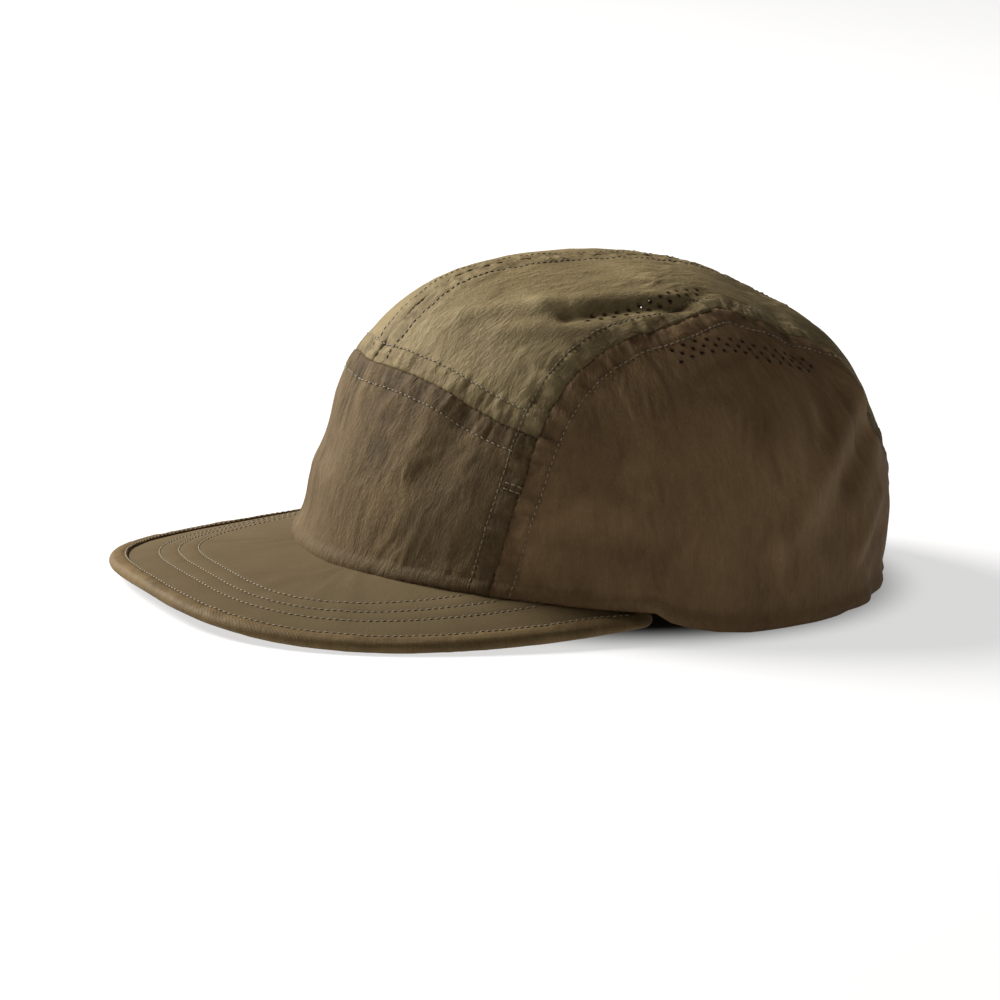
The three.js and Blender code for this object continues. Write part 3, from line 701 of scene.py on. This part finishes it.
# Grooves of the stitch rows and the slight swell between them
def peak_relief(inset, along):
    rows = [BINDING_WIDTH, *PEAK_STITCH_INSETS]
    grooves = sum(bell(inset - row, 0.55) for row in rows[1:])
    grooves *= 1 + 0.25 * np.sin(2 * np.pi * along / STITCH_PITCH)
    swell = sum(bell(inset - (a + b) / 2, (b - a) / 2.6) for a, b in zip(rows, rows[1:]))
    return 0.12 * swell - 0.16 * grooves + 0.10 * noise(along / 9, inset / 12)


def peak_sheet():
    tuck = BINDING_WALL + BINDING_GAP
    outside = outline - outline_normal * tuck
    bearing = np.degrees(np.arctan2(outside[:, 0], -outside[:, 1]))
    reach = np.linalg.norm(outside, axis=1)
    inside = outside * (np.minimum(inner_radius(bearing), reach - 1) / reach)[:, None]
    shares = np.linspace(0, 1, 78)[:, None, None]
    places = outside[None] * (1 - shares) + inside[None] * shares
    middle = peak_height(places)
    flat = np.concatenate([places, 0 * places[..., :1]], axis=-1)
    inset, along = to_line(flat, outline_line)
    relief = peak_relief(inset, along)
    half = PEAK_THICKNESS / 2 * end_thinning(places)
    top = np.concatenate([places, (middle + half + relief)[..., None]], axis=-1)
    bottom = np.concatenate([places, (middle - half - relief)[..., None]], axis=-1)
    cloth = np.stack([along, inset, 0 * inset + FAR_FROM_SEAMS], axis=-1)
    return solid_between("peak_cloth", top, bottom, cloth, np.clip(1.5 * relief, -1, 1))


# Half of the binding's section: insets from the edge and heights over the peak's middle, nose first
def binding_half():
    nose = np.linspace(0, np.pi / 2, 9)
    rounded = [(BINDING_HALF * (1 - np.cos(a)), BINDING_HALF * np.sin(a)) for a in nose]
    roll = 0.8
    flat = [(BINDING_HALF + (BINDING_WIDTH - roll - BINDING_HALF) * k / 7, BINDING_HALF) for k in range(1, 7)]
    drop = BINDING_HALF - PEAK_THICKNESS / 2
    turn = np.linspace(0, np.pi / 2, 6)
    end = [(BINDING_WIDTH - roll + roll * np.sin(a), PEAK_THICKNESS / 2 + drop * np.cos(a)) for a in turn]
    return np.array(rounded + flat + end)


def binding():
    half = binding_half()
    upper, lower = half[::-1], half[1:] * np.array([1, -1])
    shell = np.vstack([upper, lower])
    wall = PEAK_THICKNESS / 2 - 0.02
    slot = np.array([
        [BINDING_WIDTH, -wall], [BINDING_WALL, -wall], [BINDING_WALL, wall], [BINDING_WIDTH, wall],
    ])
    stations = 700
    points, normal, along = peak_outline(stations)
    step = np.concatenate([[0], np.cumsum(np.linalg.norm(np.diff(shell, axis=0), axis=1))])
    across, on = np.meshgrid(step, along)
    inset, rise = shell[:, 0][None], shell[:, 1][None]
    ribs = 0.025 * np.sin(2 * np.pi * (on + 0.9 * across) / 1.35) * (0.7 + 0.5 * noise(on / 5, across / 3))
    waves = 0.14 * noise(on / 6 + 9, across / 4) + 0.08 * noise(on / 2.2, across / 2 + 4)
    channel = -0.26 * bell(np.abs(inset) - BINDING_STITCH_INSET + 0.2, 0.45)
    swell = 0.22 * bell(inset - 0.5 * BINDING_WIDTH, 1.6)
    relief = ribs + waves + channel + swell
    outward = unit_of(np.gradient(shell, axis=0)[:, ::-1] * np.array([1, -1]))
    inset = inset - outward[:, 0][None] * relief
    rise = rise + np.sign(rise) * np.abs(outward[:, 1][None]) * relief
    inset = np.hstack([inset, np.broadcast_to(slot[:, 0], (stations, 4))])
    rise = np.hstack([rise, np.broadcast_to(slot[:, 1], (stations, 4))])
    places = points[:, None] - normal[:, None] * inset[..., None]
    height = peak_height(places) + rise * end_thinning(places)
    rings = np.concatenate([places, height[..., None]], axis=-1)
    count = rings.shape[1]
    index = np.arange(stations * count).reshape(stations, count)
    turned = np.roll(index, -1, axis=1)
    faces = np.stack([index[:-1], turned[:-1], turned[1:], index[1:]], axis=-1).reshape(-1, 4).tolist()
    faces += [index[0, ::-1].tolist(), index[-1].tolist()]
    made = mesh_object("binding_cloth", rings.reshape(-1, 3), faces)
    coordinate = np.hstack([across, np.zeros((stations, 4))])
    on_all = np.hstack([on, np.broadcast_to(along[:, None], (stations, 4))])
    cloth = np.stack([on_all, coordinate, 0 * on_all + FAR_FROM_SEAMS], axis=-1)
    store(made.data, "cloth", "FLOAT_VECTOR", "vector", cloth)
    shade = np.hstack([np.clip(3 * (ribs + waves) + 2 * channel, -1, 1), np.zeros((stations, 4))])
    store(made.data, "relief", "FLOAT", "value", shade)
    return made


def surface_tree(pieces):
    points, faces, first = [], [], 0
    for piece in pieces:
        points.extend(vertex.co / MM for vertex in piece.data.vertices)
        faces.extend([first + k for k in polygon.vertices] for polygon in piece.data.polygons)
        first = len(points)
    return BVHTree.FromPolygons(points, faces)


# Points at an even pitch on a line of rays, dropped on to a surface from outside
def drop_on(tree, origins, aims):
    found = []
    for origin, aim in zip(origins, aims):
        hit = tree.ray_cast(Vector(origin), Vector(aim))[0]
        found.append(np.full(3, np.nan) if hit is None else np.array(hit))
    return np.array(found)


# Stitches along a path whose points lie on the cloth, as one block of points and faces
STITCH_SHARES = np.array([0, 0.12, 0.5, 0.88, 1])
STITCH_LIFT = np.array([-0.3, 0.08, 0.2, 0.08, -0.3])
STITCH_GIRTH = np.array([0.55, 0.9, 1, 0.9, 0.55])
THREAD_SIDES = 6


def stitches(points, outward):
    usable = ~np.isnan(points[:, 0])
    points, outward = points[usable], outward[usable]
    along = np.concatenate([[0], np.cumsum(np.linalg.norm(np.diff(points, axis=0), axis=1))])
    count = int(along[-1] / STITCH_PITCH)
    starts = (np.arange(count) + 0.2) * STITCH_PITCH
    at = starts[:, None] + STITCH_SHARES[None] * STITCH_LENGTH
    centre = np.stack([np.interp(at, along, points[:, k]) for k in range(3)], axis=-1)
    up = unit_of(np.stack([np.interp(at, along, outward[:, k]) for k in range(3)], axis=-1))
    heading = unit_of(np.repeat((centre[:, -1] - centre[:, 0])[:, None], len(STITCH_SHARES), axis=1))
    side = unit_of(np.cross(heading, up))
    up = np.cross(side, heading)
    centre = centre + up * STITCH_LIFT[None, :, None]
    turn = np.linspace(0, 2 * np.pi, THREAD_SIDES, endpoint=False)
    girth = STITCH_GIRTH[None, :, None, None] * THREAD_DIAMETER / 2
    across, upward = np.cos(turn)[None, None, :, None], np.sin(turn)[None, None, :, None]
    ring = side[:, :, None] * across + up[:, :, None] * upward
    vertices = centre[:, :, None] + ring * girth
    gaps = np.linalg.norm(centre[:, -1] - centre[:, 0], axis=1)
    vertices = vertices[gaps < 1.3 * STITCH_LENGTH]
    count = len(vertices)
    index = np.arange(count * len(STITCH_SHARES) * THREAD_SIDES).reshape(count, -1, THREAD_SIDES)
    turned = np.roll(index, -1, axis=2)
    quads = np.stack([index[:, :-1], turned[:, :-1], turned[:, 1:], index[:, 1:]], axis=-1).reshape(-1, 4)
    ends = np.concatenate([index[:, 0, ::-1], index[:, -1]])
    return vertices.reshape(-1, 3), quads.tolist() + ends.tolist()


def stitch_object(name, paths, material):
    points, faces, first = [], [], 0
    for path in paths:
        own, own_faces = stitches(*path)
        points.append(own)
        faces.extend([first + k for k in face] for face in own_faces)
        first += len(own)
    made = mesh_object(name, np.vstack(points) - CROWN_SHIFT, faces)
    finish_mesh(made, material, None)
    return made


# Directions beside a seam line at a distance to its left or right
def beside_seam(line, distance):
    unit = unit_of(line["points"])
    heading = np.gradient(line["points"], axis=0)
    across = unit_of(np.cross(unit, heading))
    return unit_of(line["points"] + across * distance)


def keep_clear(units, lines, clearance):
    points = on_crown(units)
    away = np.minimum.reduce([to_line(points, line)[0] for line in lines])
    return units[away > clearance]


def crown_paths(tree):
    inset = SEAM_ALLOWANCE
    rows = []
    for line in (side_line, far_side_line):
        rows += [beside_seam(line, inset), beside_seam(line, -inset)]
    for side in (inset, -inset):
        rows.append(keep_clear(beside_seam(front_line, side), [side_line, far_side_line], 5.5))
        rows.append(keep_clear(beside_seam(centre_line, side), [front_line], 1.5))
    rows += band_ticks()
    paths = []
    for units in rows:
        origins = units * 160 + CROWN_SHIFT
        paths.append((drop_on(tree, origins, -units), units))
    return paths


# Two short rows across the seam allowance of the front panel, above the hem
TICK_HEIGHT = 26
TICK_SPACING = 1.7


def band_ticks():
    rows = []
    for line in (side_line, far_side_line):
        heights = np.degrees(np.arcsin(unit_of(line["points"])[:, 2]))
        near_half = heights[:len(heights) // 2]
        middle = int(np.argmin(np.abs(near_half - TICK_HEIGHT)))
        for step in (0, TICK_SPACING):
            k = int(np.argmin(np.abs(line["along"] - line["along"][middle] - step)))
            sign = 1 if line is side_line else -1
            offsets = np.linspace(-0.6, SEAM_ALLOWANCE + 0.3, 24) * sign
            rows.append(np.array([beside_seam(line, offset)[k] for offset in offsets]))
    return rows


def peak_paths(tree):
    paths = []
    for inset in [BINDING_STITCH_INSET, *PEAK_STITCH_INSETS]:
        row = outline - outline_normal * inset
        flat = np.column_stack([row, 0 * row[:, 0]])
        away, _ = to_line(flat, outline_line)
        bearing = np.degrees(np.arctan2(row[:, 0], -row[:, 1]))
        clear = np.hypot(row[:, 0], row[:, 1]) > inner_radius(bearing) + CLOTH + 0.5
        usable = clear & (away > inset - 0.15) & (row[:, 1] < -PEAK_ROOT)
        flat = flat[usable] + CROWN_SHIFT
        for side in (1, -1):
            height = 60 if side > 0 else -30
            origins = flat + np.array([0, 0, height])
            aims = np.broadcast_to([0, 0, -side], flat.shape)
            paths.append((drop_on(tree, origins, aims), -aims))
    return paths


def add_node(tree, kind, inputs=None, **settings):
    made = tree.nodes.new(kind)
    for key, value in settings.items():
        setattr(made, key, value)
    for key, value in (inputs or {}).items():
        if isinstance(value, bpy.types.NodeSocket):
            tree.links.new(value, made.inputs[key])
        else:
            made.inputs[key].default_value = value
    return made


def new_material(name):
    material = bpy.data.materials.new(name)
    material.use_nodes = True
    tree = material.node_tree
    return material, tree, tree.nodes["Principled BSDF"]


def maths(tree, operation, first, second):
    return add_node(tree, "ShaderNodeMath", {0: first, 1: second}, operation=operation).outputs[0]


# Noise in cloth millimetres, stretched along v where the lengths differ
def cloth_noise(tree, cloth, across, along, detail=4.0, distortion=0.0, shift=0.0):
    scaled = add_node(
        tree, "ShaderNodeMapping",
        {"Vector": cloth, "Scale": (1 / across, 1 / along, 0), "Location": (shift, shift, 0)})
    texture = add_node(
        tree, "ShaderNodeTexNoise",
        {"Vector": scaled.outputs[0], "Scale": 1, "Detail": detail, "Roughness": 0.6,
         "Distortion": distortion})
    return texture.outputs[0]


def cloth_material(name, colours, roughness, streak_share, crinkle_depth, shift, ribbed=False):
    material, tree, shader = new_material(name)
    cloth = add_node(tree, "ShaderNodeAttribute", attribute_name="cloth").outputs["Vector"]
    relief = add_node(tree, "ShaderNodeAttribute", attribute_name="relief").outputs["Fac"]
    streaks = cloth_noise(tree, cloth, 1.4, 6, 6, 1.2, shift)
    fine = cloth_noise(tree, cloth, 0.6, 1.4, 5, 0.3, shift + 9)
    blotches = cloth_noise(tree, cloth, 24, 30, 3, 0.6, shift + 21)
    tints = cloth_noise(tree, cloth, 11, 16, 3, 0.4, shift + 33)
    tone = maths(tree, "MULTIPLY_ADD", streaks, streak_share)
    tone.node.inputs[2].default_value = 0.5 - 0.5 * streak_share
    for source, share in ((fine, 0.6 * streak_share), (blotches, 0.4)):
        centred = maths(tree, "SUBTRACT", source, 0.5)
        tone = maths(tree, "ADD", tone, maths(tree, "MULTIPLY", centred, share))
    # The relief darkens the tone in crinkle valleys and seam ditches and lightens it on ridges: painted shade
    # and painted highlight
    tone = maths(tree, "ADD", tone, maths(tree, "MULTIPLY", relief, 0.34))
    # Darker within the seam allowance beside each seam: painted shade of the seam's ditch and stitch channel
    seam_shade = add_node(
        tree, "ShaderNodeMapRange",
        {"Value": add_node(tree, "ShaderNodeSeparateXYZ", {0: cloth}).outputs["Z"],
         "From Min": SEAM_ALLOWANCE - 0.6, "From Max": SEAM_ALLOWANCE + 0.8, "To Min": -0.15, "To Max": 0})
    tone = maths(tree, "ADD", tone, seam_shade.outputs[0])
    ramp = add_node(tree, "ShaderNodeValToRGB", {"Fac": tone})
    stops = ramp.color_ramp.elements
    stops.new(0.5)
    for stop, place, colour in zip(stops, (0.12, 0.5, 0.9), colours):
        stop.position = place
        stop.color = (*colour, 1)
    warm = add_node(
        tree, "ShaderNodeMix", {0: maths(tree, "MULTIPLY", tints, 0.35)}, data_type="RGBA", blend_type="MIX")
    tree.links.new(ramp.outputs[0], warm.inputs[6])
    warm.inputs[7].default_value = (0.150, 0.094, 0.048, 1)
    tree.links.new(warm.outputs[2], shader.inputs["Base Color"])
    rough = add_node(
        tree, "ShaderNodeMapRange",
        {"Value": streaks, "From Min": 0.3, "From Max": 0.7, "To Min": roughness + 0.08,
         "To Max": roughness - 0.08})
    tree.links.new(rough.outputs[0], shader.inputs["Roughness"])
    weave = []
    for axis in ("X", "Y"):
        wave = add_node(
            tree, "ShaderNodeTexWave", {"Vector": cloth, "Scale": 0.62, "Distortion": 0.6, "Detail": 1.0},
            wave_type="BANDS", bands_direction=axis)
        weave.append(wave.outputs["Fac"])
    weave_height = maths(tree, "MULTIPLY", weave[0], weave[1])
    folds = maths(tree, "ADD", maths(tree, "MULTIPLY", streaks, 0.7), maths(tree, "MULTIPLY", fine, 0.5))
    crinkled = add_node(
        tree, "ShaderNodeBump", {"Height": folds, "Strength": 1.0, "Distance": crinkle_depth * MM})
    woven = add_node(
        tree, "ShaderNodeBump",
        {"Height": weave_height, "Strength": 0.6, "Distance": 0.05 * MM, "Normal": crinkled.outputs[0]})
    last = woven
    if ribbed:
        turned = add_node(tree, "ShaderNodeMapping", {"Vector": cloth, "Rotation": (0, 0, math.radians(42))})
        rib = add_node(
            tree, "ShaderNodeTexWave",
            {"Vector": turned.outputs[0], "Scale": 0.33, "Distortion": 3.0, "Detail": 3.0},
            wave_type="BANDS", bands_direction="X")
        last = add_node(
            tree, "ShaderNodeBump",
            {"Height": rib.outputs["Fac"], "Strength": 0.5, "Distance": 0.07 * MM,
             "Normal": woven.outputs[0]})
    tree.links.new(last.outputs[0], shader.inputs["Normal"])
    shader.inputs["Specular IOR Level"].default_value = 0.14
    return material


def thread_material(name, dark, light):
    material, tree, shader = new_material(name)
    place = add_node(tree, "ShaderNodeTexCoord").outputs["Object"]
    texture = add_node(tree, "ShaderNodeTexNoise", {"Vector": place, "Scale": 260, "Detail": 4.0})
    ramp = add_node(tree, "ShaderNodeValToRGB", {"Fac": texture.outputs[0]})
    ramp.color_ramp.elements[0].color = (*dark, 1)
    ramp.color_ramp.elements[1].color = (*light, 1)
    tree.links.new(ramp.outputs[0], shader.inputs["Base Color"])
    twist = add_node(
        tree, "ShaderNodeBump", {"Height": texture.outputs[0], "Strength": 0.5, "Distance": 0.05 * MM})
    tree.links.new(twist.outputs[0], shader.inputs["Normal"])
    shader.inputs["Roughness"].default_value = 0.7
    shader.inputs["Sheen Weight"].default_value = 0.2
    return material


# Cloth colours as linear red, green and blue: valleys, middle, ridges; the tone mixes random variation with
# painted shade in the valleys and painted highlight on the ridges
TOP_COLOURS = [(0.092, 0.068, 0.029), (0.192, 0.148, 0.069), (0.300, 0.238, 0.118)]
FRONT_COLOURS = [(0.036, 0.023, 0.009), (0.082, 0.054, 0.022), (0.138, 0.095, 0.042)]
SIDE_COLOURS = [(0.080, 0.045, 0.021), (0.146, 0.087, 0.039), (0.215, 0.138, 0.067)]
PEAK_COLOURS = [(0.062, 0.044, 0.018), (0.088, 0.063, 0.027), (0.116, 0.086, 0.039)]
BINDING_COLOURS = [(0.058, 0.038, 0.015), (0.114, 0.075, 0.029), (0.175, 0.118, 0.048)]


def build_crown():
    thread = thread_material("crown_thread", (0.10, 0.076, 0.040), (0.25, 0.195, 0.118))
    top = cloth_material("top_cloth", TOP_COLOURS, 0.72, 0.7, 0.6, 3)
    front = cloth_material("front_cloth", FRONT_COLOURS, 0.76, 0.8, 0.6, 17)
    side = cloth_material("side_cloth", SIDE_COLOURS, 0.76, 0.5, 0.4, 29)
    grids = {"front": front_grid(), "side": side_grid(), "top": top_grid()}
    pieces = []

    def add_panel(name, grid, seams, seed, share):
        piece = solid_between(name + "_cloth", *panel_layers(grid, seams, seed, share))
        pieces.append(piece)
        return piece

    def turned(grid):
        return mirror(grid)[:, ::-1]

    front_piece = add_panel("front_panel", grids["front"], [front_line, side_line, far_side_line], 11, 1.0)
    top_seams = [front_line, centre_line, side_line]
    far_top_seams = [front_line, centre_line, far_side_line]
    top_left = add_panel("top_panel_left", grids["top"], top_seams, 23, 0.9)
    top_right = add_panel("top_panel_right", turned(grids["top"]), far_top_seams, 37, 0.9)
    side_left = add_panel("side_panel_left", grids["side"], [side_line], 41, 0.75)
    side_right = add_panel("side_panel_right", turned(grids["side"]), [far_side_line], 53, 0.75)
    tree = surface_tree(pieces)
    side_holes, top_holes = vent_units(SIDE_VENTS), vent_units(TOP_VENTS)
    cut_holes(side_left, side_holes)
    cut_holes(side_right, mirror(side_holes))
    cut_holes(top_left, top_holes)
    cut_holes(top_right, mirror(top_holes))
    finish_mesh(front_piece, front, "front_panel")
    finish_mesh(top_left, top, "top_panel_left")
    finish_mesh(top_right, top, "top_panel_right")
    finish_mesh(side_left, side, "side_panel_left")
    finish_mesh(side_right, side, "side_panel_right")
    stitch_object("crown_stitches", crown_paths(tree), thread)


def build_peak():
    # The peak's thread is a lighter copy of the crown's thread: painted highlight on the peak's stitch rows
    thread = thread_material("peak_thread", (0.14, 0.108, 0.060), (0.33, 0.265, 0.17))
    sheet = peak_sheet()
    edge = binding()
    tree = surface_tree([sheet, edge])
    finish_mesh(sheet, cloth_material("peak_cloth", PEAK_COLOURS, 0.66, 0.35, 0.10, 43), "peak")
    edge_material = cloth_material("binding_cloth", BINDING_COLOURS, 0.68, 0.5, 0.12, 51, ribbed=True)
    finish_mesh(edge, edge_material, "peak_binding")
    stitch_object("peak_stitches", peak_paths(tree), thread)


# Camera in the crown's frame: angles in degrees, lengths in millimetres, and the pixel where the point it
# was fitted to look at lies in the picture's frame of 1000 by 1000
CAMERA_BEARING = 63.02
CAMERA_HEIGHT = 11.358
CAMERA_ROLL = 2.138
CAMERA_DISTANCE = 1500
FOCAL_PIXELS = 4812
FITTED_TARGET = np.array([0, 0, 50])
FITTED_PIXEL = (601.7, 413.6)
FRAME_PIXELS = 1000
SENSOR = 36


def build_camera():
    bearing, roll = math.radians(CAMERA_BEARING), math.radians(CAMERA_ROLL)
    right = np.array([math.cos(bearing), math.sin(bearing), 0])
    back = direction(CAMERA_BEARING, CAMERA_HEIGHT)
    up = np.cross(back, right)
    level_right = right
    right = level_right * math.cos(roll) + up * math.sin(roll)
    up = up * math.cos(roll) - level_right * math.sin(roll)
    place = FITTED_TARGET + CROWN_SHIFT + back * CAMERA_DISTANCE
    aside = FRAME_PIXELS / 2 - FITTED_PIXEL[0]
    below = FRAME_PIXELS / 2 - FITTED_PIXEL[1]
    aim = unit_of(right * aside - up * below - back * FOCAL_PIXELS)
    right = unit_of(right - aim * (right @ aim))
    turn = Matrix(np.column_stack([right, np.cross(-aim, right), -aim]).tolist()).to_4x4()
    lens = bpy.data.cameras.new("camera")
    lens.sensor_width = SENSOR
    lens.lens = SENSOR * FOCAL_PIXELS / FRAME_PIXELS
    lens.clip_start = 0.05
    camera = bpy.data.objects.new("camera", lens)
    camera.matrix_world = Matrix.Translation(Vector(place * MM)) @ turn
    bpy.context.scene.collection.objects.link(camera)
    bpy.context.scene.camera = camera


def add_light(name, place, target, size, power, colour):
    lamp = bpy.data.lights.new(name, "AREA")
    lamp.shape = "DISK"
    lamp.size = size
    lamp.energy = power
    lamp.color = colour
    light = bpy.data.objects.new(name, lamp)
    place, target = Vector(place), Vector(target)
    light.location = place
    light.rotation_euler = (target - place).to_track_quat("-Z", "Y").to_euler()
    bpy.context.scene.collection.objects.link(light)


# Light of the pale floor outside the head opening and of the room, and a soft key light from the front
# on the wearer's right. The floor's own light fades out between two distances from the crown's middle.
DARK_RADIUS = 0.074
GLOW_RADIUS = 0.105
FLOOR_GLOW = 0.66
SKY_GLOW = 0.12
KEY_BEARING = -52
KEY_HEIGHT = 34
KEY_DISTANCE = 2.0
KEY_SIZE = 1.0
KEY_POWER = 100


def build_stage():
    bpy.ops.mesh.primitive_circle_add(vertices=96, radius=9, fill_type="NGON")
    floor = bpy.context.object
    floor.name = "floor"
    material, tree, shader = new_material("floor")
    place = add_node(tree, "ShaderNodeTexCoord").outputs["Object"]
    crown_middle = tuple(CROWN_SHIFT * MM)
    away = add_node(
        tree, "ShaderNodeVectorMath", {0: place, 1: crown_middle}, operation="DISTANCE").outputs["Value"]
    glow = add_node(
        tree, "ShaderNodeMapRange",
        {"Value": away, "From Min": DARK_RADIUS, "From Max": GLOW_RADIUS, "To Min": 0, "To Max": FLOOR_GLOW},
        interpolation_type="SMOOTHSTEP")
    tree.links.new(glow.outputs[0], shader.inputs["Emission Strength"])
    grain = add_node(tree, "ShaderNodeTexNoise", {"Vector": place, "Scale": 3.0, "Detail": 3.0})
    ramp = add_node(tree, "ShaderNodeValToRGB", {"Fac": grain.outputs[0]})
    ramp.color_ramp.elements[0].color = (0.30, 0.30, 0.30, 1)
    ramp.color_ramp.elements[1].color = (0.34, 0.34, 0.34, 1)
    tree.links.new(ramp.outputs[0], shader.inputs["Base Color"])
    shader.inputs["Roughness"].default_value = 0.9
    shader.inputs["Specular IOR Level"].default_value = 0
    shader.inputs["Emission Color"].default_value = (1, 1, 1, 1)
    floor.data.materials.append(material)
    middle = np.array([0, 0.02, 0.05])
    key_place = middle + direction(KEY_BEARING, KEY_HEIGHT) * KEY_DISTANCE
    add_light("key", key_place, middle, KEY_SIZE, KEY_POWER, (1.0, 0.985, 0.95))
    world = bpy.data.worlds.new("studio")
    world.use_nodes = True
    background = world.node_tree.nodes["Background"]
    background.inputs["Color"].default_value = (1.0, 0.96, 0.90, 1)
    background.inputs["Strength"].default_value = SKY_GLOW
    bpy.context.scene.world = world
    bpy.context.scene.view_settings.view_transform = "Standard"


build_camera()
build_stage()
build_crown()
build_peak()
